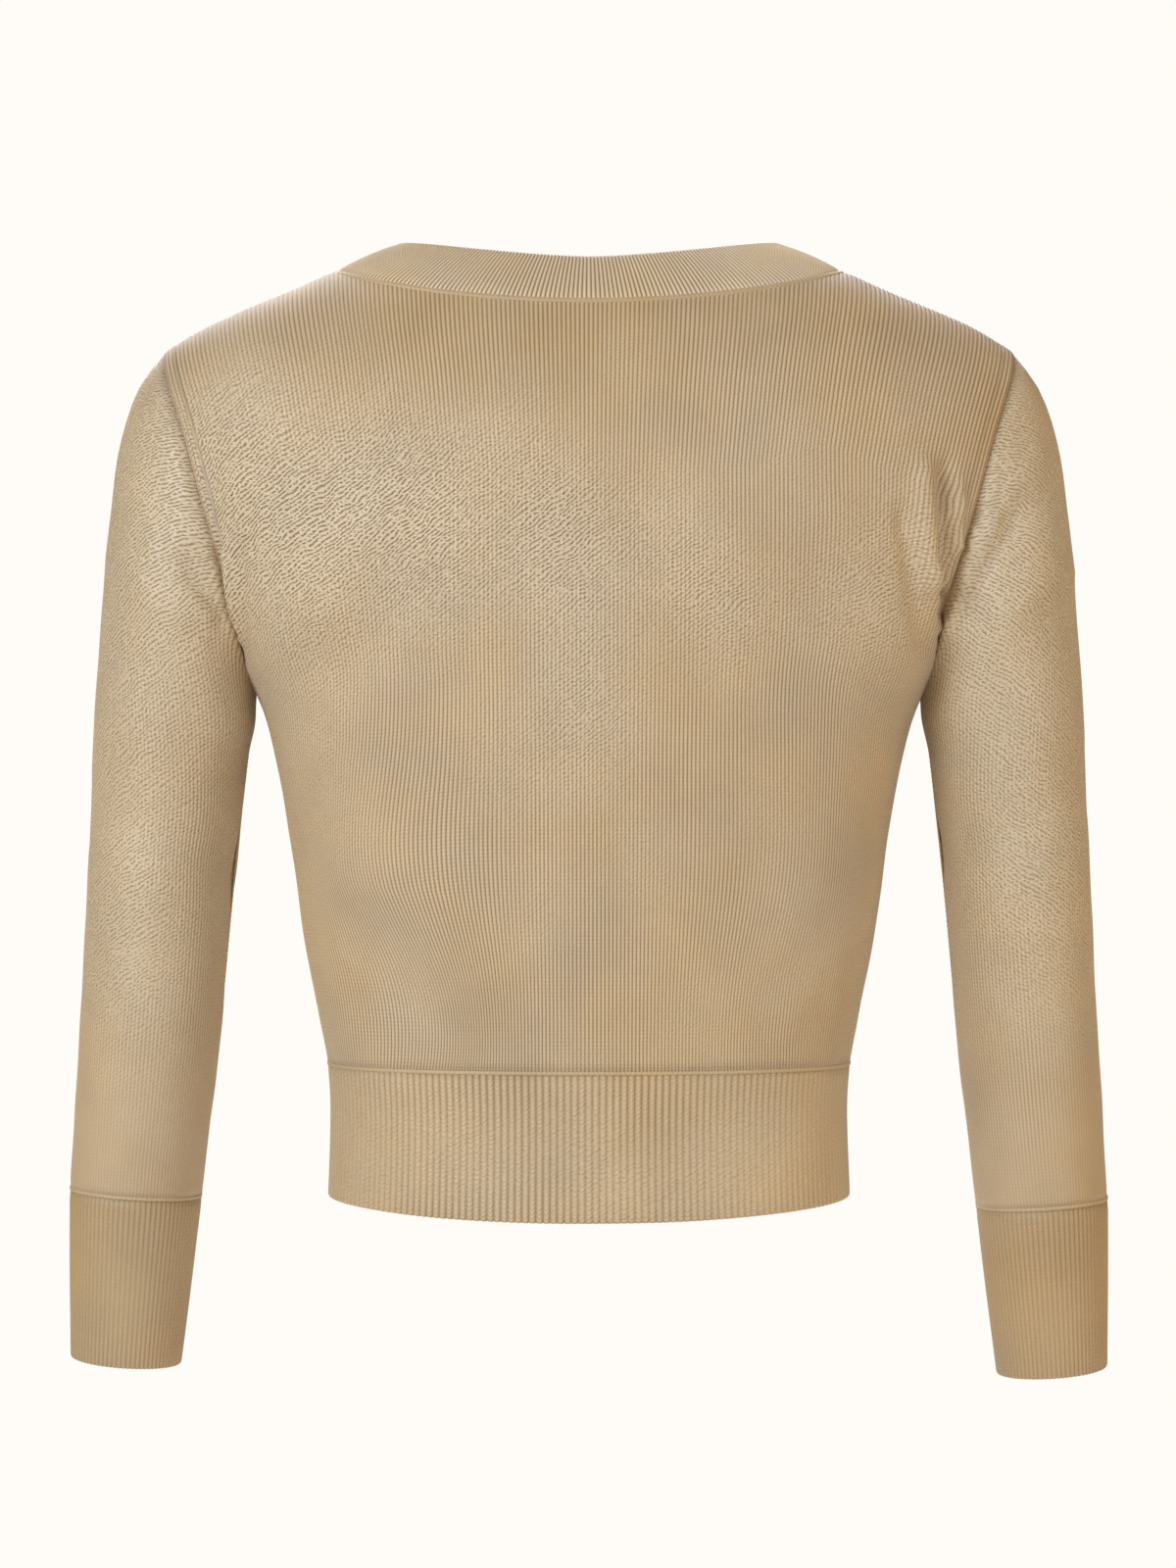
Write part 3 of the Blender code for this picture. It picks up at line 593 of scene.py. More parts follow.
def lay_grid(mesh, places):
    """A grid sheet whose corners are moved onto rows of places, given in millimetres."""
    rows, columns = places.shape[:2]
    verts = bmesh.ops.create_grid(mesh, x_segments=columns - 1, y_segments=rows - 1, size=1,
                                  calc_uvs=True)["verts"]
    for vert, place in zip(verts, (places * MM).reshape(-1, 3).tolist()):
        vert.co = place
    return [verts[row * columns:(row + 1) * columns] for row in range(rows)]


def bridge(mesh, first, second):
    """Joins two lines of corners in two halves, so that lines which run right round a tube can't twist."""
    middle = (len(second) - 1) // 2
    split = middle * (len(first) - 1) // (len(second) - 1)
    for halves in ((first[:split + 1], second[:middle + 1]), (first[split:], second[middle:])):
        edges = [mesh.edges.get(pair) for line in halves for pair in zip(line, line[1:])]
        bmesh.ops.bridge_loops(mesh, edges=edges)


def column(rows, index):
    return [row[index] for row in rows]


def knit_wall(name, outer, inner, wales, closed, finish):
    """One closed wall of cloth. Its UV map counts wales across, and millimetres up from the lower edge, where
    knitting starts."""
    mesh = bmesh.new()
    mesh.loops.layers.uv.new("knit")
    outside, inside = lay_grid(mesh, outer), lay_grid(mesh, inner)
    for end in (0, -1):
        bridge(mesh, outside[end], inside[end])
        if not closed:
            bridge(mesh, column(outside, end), column(inside, end))
    bmesh.ops.remove_doubles(mesh, verts=mesh.verts[:], dist=2e-6)
    bmesh.ops.recalc_face_normals(mesh, faces=mesh.faces[:])
    if mesh.calc_volume(signed=True) < 0:
        bmesh.ops.reverse_faces(mesh, faces=mesh.faces[:])
    down = lengths(outer, axis=0)
    return finished_mesh(name + "_knit", mesh, wales, down[-1] - down, finish)


def finished_mesh(name, mesh, wales, courses, finish):
    """Puts a piece in the scene, with its UV map in wales and millimetres and its crepe and smooth shares."""
    data = bpy.data.meshes.new(name)
    mesh.to_mesh(data)
    mesh.free()
    layer = data.uv_layers["knit"].data
    places = np.empty(2 * len(layer))
    layer.foreach_get("uv", places)
    across, down = np.clip(places.reshape(-1, 2), 0, 1).T
    at = tuple(np.rint(share * (count - 1)).astype(int)
               for share, count in zip((down, across), courses.shape))
    layer.foreach_set("uv", np.stack([across * wales, courses[at]], axis=-1).ravel())
    corners = np.empty(3 * len(data.vertices))
    data.vertices.foreach_get("co", corners)
    for attribute, values in zip(("crepe", "smooth"), softened(name, corners.reshape(-1, 3) / MM)):
        data.attributes.new(attribute, "FLOAT", "POINT").data.foreach_set("value", values)
    data.shade_smooth()
    data.materials.append(finish)
    piece = bpy.data.objects.new(name, data)
    bpy.context.scene.collection.objects.link(piece)
    return piece


def declare(piece, node):
    """The piece rides on the root frame, and the CAD part for its node is hidden."""
    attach(piece, "root")
    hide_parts(node)


def rolled_rows(last, before, normals, wall, lift):
    """Rows round a free edge, from its outer face over to just short of its inner one."""
    down = unit(last - before)
    rows = []
    for turn in np.radians((35, 70, 105, 140)):
        over, along = math.cos(turn), math.sin(turn)
        lifted = (normals * over + down * along) * (lift * (1 + over) / 2)[:, None]
        rows.append(last - normals * wall / 2 * (1 - over) + down * wall / 2 * along + lifted)
    return np.array(rows)


def stretch_rows(rows, count):
    """The same surface on another number of rows."""
    at = np.linspace(0, len(rows) - 1, count)
    low = np.minimum(at.astype(int), len(rows) - 2)
    return mix(rows[low], rows[low + 1], (at - low)[:, None, None])


def knit_fine(name, base, normals, inward, grooves, ease, closed, cut, finish):
    """A piece of fine rib from its smooth grid: creased, sunk along its armholes and ribbed. Its ribs keep
    the share ease of their height."""
    lift = (fold_height(name, base) + unevenness(base)) * edge_share(base, CREASE_FADE, closed)
    for aside, groove in grooves:
        lift = lift - np.where(aside > 0.1, groove, 0.0)
    grid = base + normals * lift[..., None]
    columns = base.shape[1]
    wave = rib_height(name, base, columns, FINE_STEPS, FINE_FLATNESS) * cut.fine_rib_lift * ease
    outer = grid + normals * wave[..., None]
    inner = (grid + inward * cut.cloth_wall)[:, ::FINE_STEPS]
    piece = knit_wall(name, outer, inner, (columns - 1) / FINE_STEPS, closed, finish)
    declare(piece, name)
    return piece


def knit_band(name, base, normals, inward, wave, steps, closed, cut, finish):
    """A ribbed band from its smooth grid: ribbed as the wave says, with its free edge rolled over."""
    ease = smooth_step(lengths(base, axis=0) / BAND_RIB_FADE)
    outer = base + normals * (wave * ease)[..., None]
    outer = np.concatenate([outer, rolled_rows(base[-1], base[-2], -inward[-1], cut.band_wall, wave[-1])])
    inner = stretch_rows((base + inward * cut.band_wall)[:, ::steps], len(outer))
    piece = knit_wall(name, outer, inner, (base.shape[1] - 1) / steps, closed, finish)
    declare(piece, name)
    return piece


# ---------------------------------------------------------------- body panels

def wale_share(z_side, face, places):
    """Where wales lie across a row, as shares of its half width: even along the cloth in the middle of the
    body, and drawn together or apart towards the sides as the body narrows or widens. The armhole cuts off
    the wales beyond it."""
    z = min(z_side, WALE_HEIGHT)
    half = body_half_width(z, read_curve(BODY, "height", "back_depth" if face > 0 else "front_depth", z))
    x = half * np.sin(np.linspace(0, np.pi / 2, 400))
    along = lengths(on_body(x, z, face))
    whole = side_length(min(z, UNDERARM), face)
    wanted = WALE_SPAN * places + (whole - WALE_SPAN) * places ** WALE_SPREAD
    return np.minimum(np.interp(wanted, along, x) / row_out(z), 1.0)


def wale_lean(share, sign, z):
    """How far out the wales of the lower back lie above where they lean, and how far in below it."""
    above = (z - LEAN_HEIGHT) / LEAN_REACH
    most = np.sin(np.pi * np.clip(share, 0, 1) ** LEAN_CURVE) ** 2
    return np.where(sign > 0, LEAN_LEFT, LEAN_RIGHT) * most * above * np.exp(0.5 - above * above / 2)


def side_length(z, face):
    """Length of cloth round half the body, from its middle to the side seam."""
    x = body_half_width(z, 1.0) * np.sin(np.linspace(0, np.pi / 2, 400))
    return lengths(on_body(x, z, face))[-1]


def panel_grid(face, places, cut_by_front_edge):
    """Rows of places down a body panel; at the front edge the wales are cut off."""
    out = np.abs(places)
    top_x = SHOULDER[-1].out * wale_share(SHOULDER_POINT, face, out)
    if cut_by_front_edge:
        top_x = np.maximum(top_x, NECK_HALF)
    top = np.where(top_x < NECK_HALF, neck_height(top_x), shoulder_height(top_x))
    rows = []
    for z_side in row_heights():
        share = row_share(z_side)
        x = row_out(z_side) * wale_share(z_side, face, out)
        if face > 0:
            x = x + wale_lean(x / row_out(z_side), np.sign(places), z_side)
        if cut_by_front_edge:
            x = np.maximum(x, front_edge_out(HEM_SEAM * share))
        rows.append(on_body(x * np.sign(places), mix(top, HEM_SEAM, share), face))
    return np.array(rows)


def finish_side(grid, inward, sign, face):
    """Puts a panel's side, with every wale that the armhole cuts off, on the armhole and side seams."""
    angles = np.linspace(0, np.pi, ARMHOLE_ROWS + 1) * face
    seam = sunk_armhole(angles, sign)
    last = -1 if grid[0, -1, 0] * sign > 0 else 0
    for row, z_side in enumerate(row_heights()):
        cut_off = grid[row, :, 0] * sign > row_out(z_side) - 0.01
        cut_off[last] = True
        if row <= ARMHOLE_ROWS:
            grid[row, cut_off] = seam.places[row] - seam.across[row] * HALF_GAP
            inward[row, cut_off] = seam.rims[row]
        else:
            inward[row, cut_off] = flat_rims(-inward[row, cut_off], (0, 1, 0))
            grid[row, cut_off, 1] = face * HALF_GAP


def make_panel(name, face, places, cut_by_front_edge, cut, finish):
    """The back, or a front: between its neck or front edge, shoulders, armholes, side seams and hem seam."""
    grid = panel_grid(face, places, cut_by_front_edge)
    normals = body_normals(grid, face)
    inward = -normals
    inward[0] = flat_rims(normals[0], (0, 1, 0))
    inward[-1] = flat_rims(normals[-1], (0, 0, 1))
    grid[-1, :, 2] = HEM_SEAM + HALF_GAP
    grid[0, :, 1] = face * np.maximum(np.abs(grid[0, :, 1]), HALF_GAP)
    if face > 0:
        seam, _ = neck_seam()
        neck = np.abs(grid[0, :, 0]) < NECK_HALF
        inward[0, neck] = resample(seam.rims, seam.places[:, 0], grid[0, neck, 0])
        finish_side(grid, inward, -1, 1)
        finish_side(grid, inward, 1, 1)
    else:
        sign = np.sign(places[-1])
        seam, _ = front_seam(sign)
        inward[:, 0] = resample(seam.rims, -seam.places[:, 2], -grid[:, 0, 2])
        finish_side(grid, inward, sign, -1)
    angles = np.concatenate([np.linspace(0, np.pi, ARMHOLE_ROWS + 1), np.full(SIDE_ROWS, np.pi)])[:, None]
    along = lengths(grid, axis=1)
    grooves = []
    for aside in (along, along[:, -1:] - along) if face > 0 else (along[:, -1:] - along,):
        groove = armhole_groove(angles, aside)
        groove[ARMHOLE_ROWS:] = 0.0
        grooves.append((aside, groove))
    ease = edge_share(grid, FINE_RIB_FADE, False)
    return knit_fine(name, grid, normals, inward, grooves, ease, False, cut, finish)


def back_places():
    return np.linspace(-1, 1, 2 * HALF_BODY_WALES * FINE_STEPS + 1)


def front_places(sign):
    """From the first wale that is ever clear of the front edge out to the side."""
    sample = np.linspace(0, 1, 2001)
    first = 1.0
    for z_side in row_heights():
        out = row_out(z_side) * wale_share(z_side, -1, sample)
        first = min(first, sample[np.searchsorted(out, front_edge_out(HEM_SEAM * row_share(z_side)))])
    start = math.floor(first * HALF_BODY_WALES - 0.5)
    return sign * np.linspace(start / HALF_BODY_WALES, 1, (HALF_BODY_WALES - start) * FINE_STEPS + 1)


# ---------------------------------------------------------------- hem bands

def band_columns(line, pitch, steps):
    """How many columns an even rib needs along a line."""
    return round(lengths(line)[-1] / pitch) * steps + 1


def hem_line(x, share, face):
    z = mix(HEM_SEAM, HEM_EDGE, share)
    dip = HEM_BACK_DIP * share * (1 - (x / HEM_SIDE) ** 2) if face > 0 else 0.0
    out = x / HEM_SIDE * body_half_width(z, 1.0)
    return on_body(out, z - dip, face)


def even_places(first, last, face, columns):
    """Places across the hem seam from one x to another, even along the cloth."""
    x = HEM_SIDE * np.sin(np.linspace(math.asin(first / HEM_SIDE), math.asin(last / HEM_SIDE), 1200))
    along = lengths(on_body(x, HEM_SEAM, face))
    return np.interp(np.linspace(0, along[-1], columns), along, x)


def make_hem(name, first, last, face, cut, finish):
    """The band under a panel, between places first and last across the hem seam."""
    dense = even_places(first, last, face, 400)
    columns = band_columns(on_body(dense, HEM_SEAM, face), cut.hem_rib, BAND_STEPS)
    x = even_places(first, last, face, columns)
    grid = np.array([hem_line(x, share, face) for share in np.linspace(0, 1, HEM_ROWS + 1)])
    normals = body_normals(grid, face)
    inward = -normals
    inward[0] = flat_rims(normals[0], (0, 0, 1))
    grid[0, :, 2] = HEM_SEAM - HALF_GAP
    for index, place in ((0, first), (-1, last)):
        if abs(abs(place) - HEM_SIDE) < 0.1:
            inward[:, index] = flat_rims(normals[:, index], (0, 1, 0))
            grid[:, index, 1] = face * HALF_GAP
        else:
            seam, _ = front_seam(np.sign(place))
            down, wanted = -seam.places[:, 2], -grid[:, index, 2]
            inward[:, index] = resample(seam.rims, down, wanted)
            grid[:, index, :2] = resample(seam.places - seam.across * HALF_GAP, down, wanted)[:, :2]
    wave = rib_height(name, grid, columns, BAND_STEPS, BAND_FLATNESS) * cut.band_rib_lift
    return knit_band(name, grid, normals, inward, wave, BAND_STEPS, False, cut, finish)


# ---------------------------------------------------------------- neck and front bands

def make_band(name, seam, edges, cut, finish):
    """The band beyond a seam, out to its free edge, standing up a little midway."""
    near = seam.places + seam.across * HALF_GAP
    along = lengths(near)
    columns = band_columns(near, cut.neck_rib, FINE_STEPS)
    wanted = np.linspace(0, along[-1], columns)
    near, edges = resample(near, along, wanted), resample(edges, along, wanted)
    rims = unit(resample(seam.rims, along, wanted))
    grid = np.array([mix(near, edges, share) - rims * 4 * share * (1 - share) * cut.band_swell
                     for share in np.linspace(0, 1, BAND_ROWS + 1)])
    for index in (0, -1):
        ahead = np.sign(near[len(near) // 2][1])
        shoulder = np.abs(grid[:, index, 1]) < 3
        if near[index][2] > -1:
            grid[shoulder, index, 1] = ahead * HALF_GAP
    wave = rib_wave(columns, FINE_STEPS, FINE_FLATNESS) * cut.band_rib_lift
    wave, inward = np.broadcast_to(wave, grid.shape[:2]), np.broadcast_to(rims, grid.shape)
    return knit_band(name, grid, -inward, inward, wave, FINE_STEPS, False, cut, finish)


# ---------------------------------------------------------------- sleeves and cuffs

def sleeve_drop(z, side):
    share = (SLEEVE_DROP_START - z) / (SLEEVE_DROP_START - CUFF[0].outer_z)
    return side.drop * smooth_step(share)


def ring(sections, down, angles, side):
    """A ring of places round the arm, at a distance down given by the mean height of its ends."""
    keys = [-(section.outer_z + section.inner_z) / 2 for section in sections]
    at = {name: smooth_curve(keys, [getattr(row, name) for row in sections], down)
          for name in SleeveSection._fields}
    share = (1 - np.cos(angles)) / 2
    chord = mix(SHOULDER[-1].out, ARMHOLE[-1].out, share)
    x = mix(at["outer_x"], at["inner_x"], share) + at["bend"] * (armhole_out(armhole_height(angles)) - chord)
    z = mix(at["outer_z"], at["inner_z"], share)
    y = at["half_depth"] * np.sin(angles) - at["forward"]
    return point(side.sign * x, y, z - sleeve_drop(z, side))


def section_range(sections):
    """How far down the first and the last ring of a tube lie."""
    ends = sections[0], sections[-1]
    return [-(section.outer_z + section.inner_z) / 2 for section in ends]


def even_ring(sections, down, columns, side, gather):
    """A ring on evenly spaced columns, from the underarm round behind; gather draws them to the shoulder."""
    angles = np.linspace(np.pi, -np.pi, 361)
    along = lengths(ring(sections, down, angles, side))
    even = np.interp(np.linspace(0, along[-1], columns), along, angles)
    even = even - gather * np.sin(even)
    return ring(sections, down, even, side), even


def sleeve_axis(side):
    """The direction in which the sleeve's lower end and the cuff point."""
    centre = [ring(sections, down, np.linspace(0, 2 * np.pi, 9)[:-1], side).mean(axis=0)
              for sections, down in ((SLEEVE, SLEEVE_LOW), (CUFF, CUFF_MIDDLE))]
    return unit(centre[1] - centre[0])


def tube_normals(grid):
    """Outward directions of a grid that runs right round a tube."""
    columns = grid.shape[1] - 1
    index = np.arange(columns + 1)
    across = grid[:, (index + 1) % columns] - grid[:, (index - 1) % columns]
    down = np.gradient(grid, axis=0)
    normals = unit(np.cross(across, down))
    centres = grid[:, :-1].mean(axis=1)[:, None]
    return np.where(dot(normals, grid - centres) < 0, -normals, normals)


def make_sleeve(side, cut, finish):
    name = "sleeve_" + side.name
    columns = SLEEVE_WALES * FINE_STEPS + 1
    start, end = section_range(SLEEVE)
    rows = []
    for down in np.linspace(start, end, SLEEVE_ROWS + 1):
        gather = WALE_GATHER * (1 - smooth_step((down - start) / WALE_GATHER_LENGTH))
        rows.append(even_ring(SLEEVE, down, columns, side, gather))
    grid, angles = np.array([row for row, _ in rows]), rows[0][1]
    normals = tube_normals(grid)
    inward = -normals
    seam = sunk_armhole(angles, side.sign)
    grid[0] = seam.places + seam.across * HALF_GAP
    inward[0] = seam.rims
    axis = sleeve_axis(side)
    grid[-1] = grid[-1] - axis * HALF_GAP
    inward[-1] = flat_rims(normals[-1], axis)
    from_seam = lengths(grid, axis=0)
    grooves = [(from_seam, armhole_groove(angles, from_seam))]
    ease = mix(EASED_RIB, 1.0, smooth_step(from_seam / EASED_LENGTH)) * edge_share(grid, FINE_RIB_FADE, True)
    return knit_fine(name, grid, normals, inward, grooves, ease, True, cut, finish)


def make_cuff(side, cut, finish):
    name = "cuff_" + side.name
    start, end = section_range(CUFF)
    columns = band_columns(even_ring(CUFF, start, 400, side, 0.0)[0], cut.cuff_rib, BAND_STEPS)
    downs = np.linspace(start, end, CUFF_ROWS + 1)
    grid = np.array([even_ring(CUFF, down, columns, side, 0.0)[0] for down in downs])
    normals = tube_normals(grid)
    inward = -normals
    axis = sleeve_axis(side)
    grid[0] = grid[0] + axis * HALF_GAP
    inward[0] = flat_rims(normals[0], axis)
    wave = rib_height(name, grid, columns, BAND_STEPS, BAND_FLATNESS) * cut.band_rib_lift
    return knit_band(name, grid, normals, inward, wave, BAND_STEPS, True, cut, finish)


# ---------------------------------------------------------------- linking stitches

# the length of one linking stitch in millimetres, and the sides of the roll of yarn
STITCH = 2.2
YARN_SIDES = 6
# how thick the roll is along each kind of seam, how much it swells at a stitch and how flat it is laid
NECK_ROLL = {"size": 3.2, "swell": 0.06, "flat": 0.5}
HEM_ROLL = {"size": 1.9, "swell": 0.1, "flat": 0.45}
CLOTH_ROLL = {"size": 0.8}
ARMHOLE_ROLL = {"size": 0.7}
BAND_ROLL = {"size": 0.9}


def make_stitches(name, places, outward, radius, swell, flat, closed, finish):
    """A linked seam: a thin roll of yarn, flat times as high as wide, that swells once for every stitch."""
    along = lengths(places)
    steps = 4 * round(along[-1] / STITCH)
    wanted = np.linspace(0, along[-1], steps + 1)
    centre = resample(places, along, wanted)
    outward = unit(resample(outward, along, wanted))
    tangents = unit(np.gradient(centre, axis=0))
    if closed:
        tangents[0] = tangents[-1] = unit(tangents[0] + tangents[-1])
    sideways = unit(np.cross(tangents, outward))
    thick = radius * (1 + swell * np.cos(2 * np.pi * np.arange(steps + 1) / 4))
    turns = np.linspace(0, 2 * np.pi, YARN_SIDES + 1)
    around = outward[:, None] * flat * np.cos(turns)[:, None] + sideways[:, None] * np.sin(turns)[:, None]
    grid = centre[:, None] + around * thick[:, None, None]
    mesh = bmesh.new()
    mesh.loops.layers.uv.new("knit")
    lay_grid(mesh, grid)
    bmesh.ops.remove_doubles(mesh, verts=mesh.verts[:], dist=2e-6)
    open_edges = [edge for edge in mesh.edges if edge.is_boundary]
    if open_edges:
        bmesh.ops.holes_fill(mesh, edges=open_edges)
    bmesh.ops.recalc_face_normals(mesh, faces=mesh.faces[:])
    piece = finished_mesh(name, mesh, 1, wanted[:, None] * np.ones(len(turns)), finish)
    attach(piece, "root")
    return piece


# ---------------------------------------------------------------- materials

# the crepe's dashes: how much they lean across each wale, and how far apart they lie up the cloth in
# millimetres
DASHES_PER_WALE = 0.6
DASH_RISE = 2.1
# how high a dash and the loose fibre stand, as shares of a rib
DASH_LIFT = 1.9
FUZZ_LIFT = 0.4
# what the yarn's colour is multiplied by where it is yellower and where it is cooler, at random, and where it
# is open into crepe, painted paler and cooler as painted highlight
WARM_TINT = (1.04, 0.99, 0.89, 1.0)
COOL_TINT = (0.985, 1.0, 1.05, 1.0)
OPENED_HIGHLIGHT_TINT = (1.06, 1.12, 1.22, 1.0)

# each finish, with the colours of its crests and valleys: the crests are painted lighter than the yarn, as
# painted highlight, and the valleys darker, as painted shade between the ribs
Finish = namedtuple("Finish", "crest valley course relief even")
FINISHES = {
    # the fine rib's even share is lower than the bands', so that where its cloth lies smooth, as on the
    # sleeves' lower ends, it is painted darker: painted shade
    "fine_viscose_rib_knit": Finish("crest", "valley", 1.6, 0.0003, 0.65),
    "hem_viscose_rib_knit": Finish("band_crest", "band_valley", 1.9, 0.0004, 0.75),
    # the cuffs' finish is the hem's with its crests painted darker: painted shade, as on the lower sleeves
    "cuff_viscose_rib_knit": Finish("cuff_crest", "band_valley", 1.9, 0.0004, 0.75),
    # the neck's finish has its crests painted much lighter and its valleys much darker than the hem's: painted
    # highlight and painted shade
    "neck_viscose_rib_knit": Finish("neck_crest", "neck_valley", 1.6, 0.0003, 0.75),
    "linked_seam_yarn": Finish("seam", "seam", 2.2, 0.0002, 0.75),
}


def linear(hex_colour):
    """An sRGB hex colour as linear red, green, blue and alpha."""
    parts = [int(hex_colour[start:start + 2], 16) / 255 for start in (0, 2, 4)]
    return [part / 12.92 if part <= 0.04045 else ((part + 0.055) / 1.055) ** 2.4 for part in parts] + [1.0]


def add_node(tree, kind, inputs=(), **settings):
    """Adds a node; inputs pairs a socket's name or number with a value, or with the output that feeds it."""
    node = tree.nodes.new(kind)
    for name, value in settings.items():
        setattr(node, name, value)
    for key, value in dict(inputs).items():
        if isinstance(value, bpy.types.NodeSocket):
            tree.links.new(value, node.inputs[key])
        else:
            node.inputs[key].default_value = value
    return node


def rib_knit(name, crest, valley, course, relief, even):
    """Viscose-blend rib knit: matt, with a low soft sheen. Round pale ribs stand between narrow valleys; the
    crests' colour is painted lighter than the yarn, as painted highlight, and the valleys' colour darker, as
    painted shade.

    Stitches show as small chevrons along each rib, one for every course of so many millimetres, drawn from the
    UV map's wales and millimetres, with the low part of each chevron painted a little darker, as painted shade.
    Real courses are about 1 mm; they are drawn a little coarser so that they show. Where the crepe attribute
    rises, the ribs open into short slanting dashes, and the colour is painted paler and cooler, as painted
    highlight. Where the smooth attribute rises, ribs and dashes fade into one tone, which lies the share even
    of the way from the valleys' colour to the crests'; a low even, as the fine rib has, paints the smooth cloth
    darker, as painted shade. The relief is the depth of the grain in metres.
    """
    material = bpy.data.materials.new(name)
    material.use_nodes = True
    tree = material.node_tree
    tree.nodes.clear()

    def maths(operation, *inputs):
        node = add_node(tree, "ShaderNodeMath", dict(enumerate(inputs)), operation=operation)
        return node.outputs[0]

    def remap(value, low, high, to_low, to_high):
        return add_node(tree, "ShaderNodeMapRange", {"Value": value, "From Min": low, "From Max": high,
                                                     "To Min": to_low, "To Max": to_high}).outputs[0]

    def noise(vector, scale, detail):
        return add_node(tree, "ShaderNodeTexNoise", {"Vector": vector, "Scale": scale, "Detail": detail,
                                                     "Roughness": 0.6}).outputs[0]

    def mixed(share, first, second):
        return add_node(tree, "ShaderNodeMix", {"Factor": share, 6: first, 7: second},
                        data_type="RGBA").outputs[2]

    place = add_node(tree, "ShaderNodeUVMap", uv_map="knit").outputs[0]
    split = add_node(tree, "ShaderNodeSeparateXYZ", {0: place})
    wale, up = split.outputs["X"], split.outputs["Y"]
    where = add_node(tree, "ShaderNodeTexCoord").outputs["Object"]
    crepe = add_node(tree, "ShaderNodeAttribute", attribute_name="crepe").outputs["Fac"]
    smooth = add_node(tree, "ShaderNodeAttribute", attribute_name="smooth").outputs["Fac"]

    rib = maths("POWER", maths("ABSOLUTE", maths("SINE", maths("MULTIPLY", wale, math.pi))), 0.8)
    lean = maths("MULTIPLY", maths("PINGPONG", wale, 0.5), 1.2)
    chevron = maths("MULTIPLY", maths("ADD", maths("DIVIDE", up, course), lean), 2 * math.pi)
    stitch = remap(maths("COSINE", chevron), -1.0, 1.0, 0.0, 1.0)
    # crepe: slanting dashes, their lines bent over some 9 mm and broken every few millimetres. They are drawn
    # 1.7 mm apart, because dashes 1.3 mm apart are too fine to show
    bend = maths("MULTIPLY", noise(where, 110.0, 1.0), 2.6)
    slant = maths("ADD", maths("MULTIPLY_ADD", wale, DASHES_PER_WALE, maths("DIVIDE", up, DASH_RISE)), bend)
    hatch = remap(maths("COSINE", maths("MULTIPLY", slant, 2 * math.pi)), -1.0, 0.6, 1.0, 0.0)
    cloth = add_node(tree, "ShaderNodeCombineXYZ", {0: wale, 1: up}).outputs[0]
    breaks = remap(noise(cloth, 1.2, 0.0), 0.37, 0.54, 0.0, 1.0)
    dashes = maths("SUBTRACT", 1.0, maths("MULTIPLY", hatch, breaks))
    # cloudy shading over some 35 mm, as on cloth whose pile lies a little unevenly, and loose 0.5 mm fibre
    cloud = noise(where, 26.0, 4.0)
    fuzz = noise(where, 1900.0, 2.0)

    grain = maths("MULTIPLY_ADD", dashes, 1.2, -0.1)
    crisp = add_node(tree, "ShaderNodeMix", {0: crepe, 2: rib, 3: grain}).outputs[0]
    # where the cloth lies smooth the share becomes even, which on the fine rib paints it darker: painted shade
    drawn = add_node(tree, "ShaderNodeMix", {0: maths("MULTIPLY", smooth, 0.8), 2: crisp, 3: even}).outputs[0]
    # the valleys' colour is painted shade and the crests' painted highlight; the share is 0 in the grooves of
    # ribs and dashes
    base = mixed(drawn, valley, crest)
    # tones that wander over some 60 mm, from a little yellower to a little cooler
    tint = mixed(remap(noise(where, 17.0, 2.0), 0.35, 0.65, 0.0, 1.0), WARM_TINT, COOL_TINT)
    uneven = maths("MULTIPLY", remap(cloud, 0.3, 0.7, 0.93, 1.06), remap(fuzz, 0.25, 0.75, 0.94, 1.06))
    # the stitch term paints the low part of each chevron a little darker: painted shade between stitches; cloud
    # and fibre are random tone
    tone = maths("MULTIPLY", uneven, remap(stitch, 0.0, 0.6, 0.92, 1.02))
    # where the ribs open into crepe, the colour is painted paler and less yellow: painted highlight
    opened = mixed(crepe, tint, OPENED_HIGHLIGHT_TINT)
    tinted = add_node(tree, "ShaderNodeVectorMath", {0: base, 1: opened}, operation="MULTIPLY").outputs[0]
    colour = add_node(tree, "ShaderNodeVectorMath", {0: tinted, "Scale": tone}, operation="SCALE").outputs[0]

    ridges = maths("MULTIPLY", maths("MULTIPLY", stitch, rib), maths("SUBTRACT", 1.0, crepe))
    raised = maths("MULTIPLY_ADD", maths("MULTIPLY", dashes, crepe), DASH_LIFT, ridges)
    height = maths("MULTIPLY_ADD", maths("SUBTRACT", 1.0, smooth), raised, maths("MULTIPLY", fuzz, FUZZ_LIFT))
    bump = add_node(tree, "ShaderNodeBump", {"Height": height, "Strength": 0.8, "Distance": relief})
    surface = add_node(tree, "ShaderNodeBsdfPrincipled", {
        "Base Color": colour, "Roughness": 0.5, "Normal": bump.outputs[0], "IOR": 1.5,
        "Specular IOR Level": 0.8, "Sheen Weight": 0.3, "Sheen Roughness": 0.5})
    add_node(tree, "ShaderNodeOutputMaterial", {"Surface": surface.outputs[0]})
    return material


def finish_named(name):
    """The knit finishes are shared by the pieces; each is made once, from the colours in the sidebar."""
    made = bpy.data.materials.get(name)
    if made:
        return made
    dye, form = bpy.context.scene.bolero_dye, FINISHES[name]
    crest, valley = getattr(dye, form.crest), getattr(dye, form.valley)
    return rib_knit(name, crest, valley, form.course, form.relief, form.even)


# ---------------------------------------------------------------- settings

def millimetres(name, description, default, least, most):
    return FloatProperty(name=name, description=description + ", mm", default=default, min=least, max=most)


def dye_and_shade_colour(name, description, hex_colour):
    return FloatVectorProperty(name=name, description=description, subtype="COLOR", size=4, min=0, max=1,
                               default=linear(hex_colour))


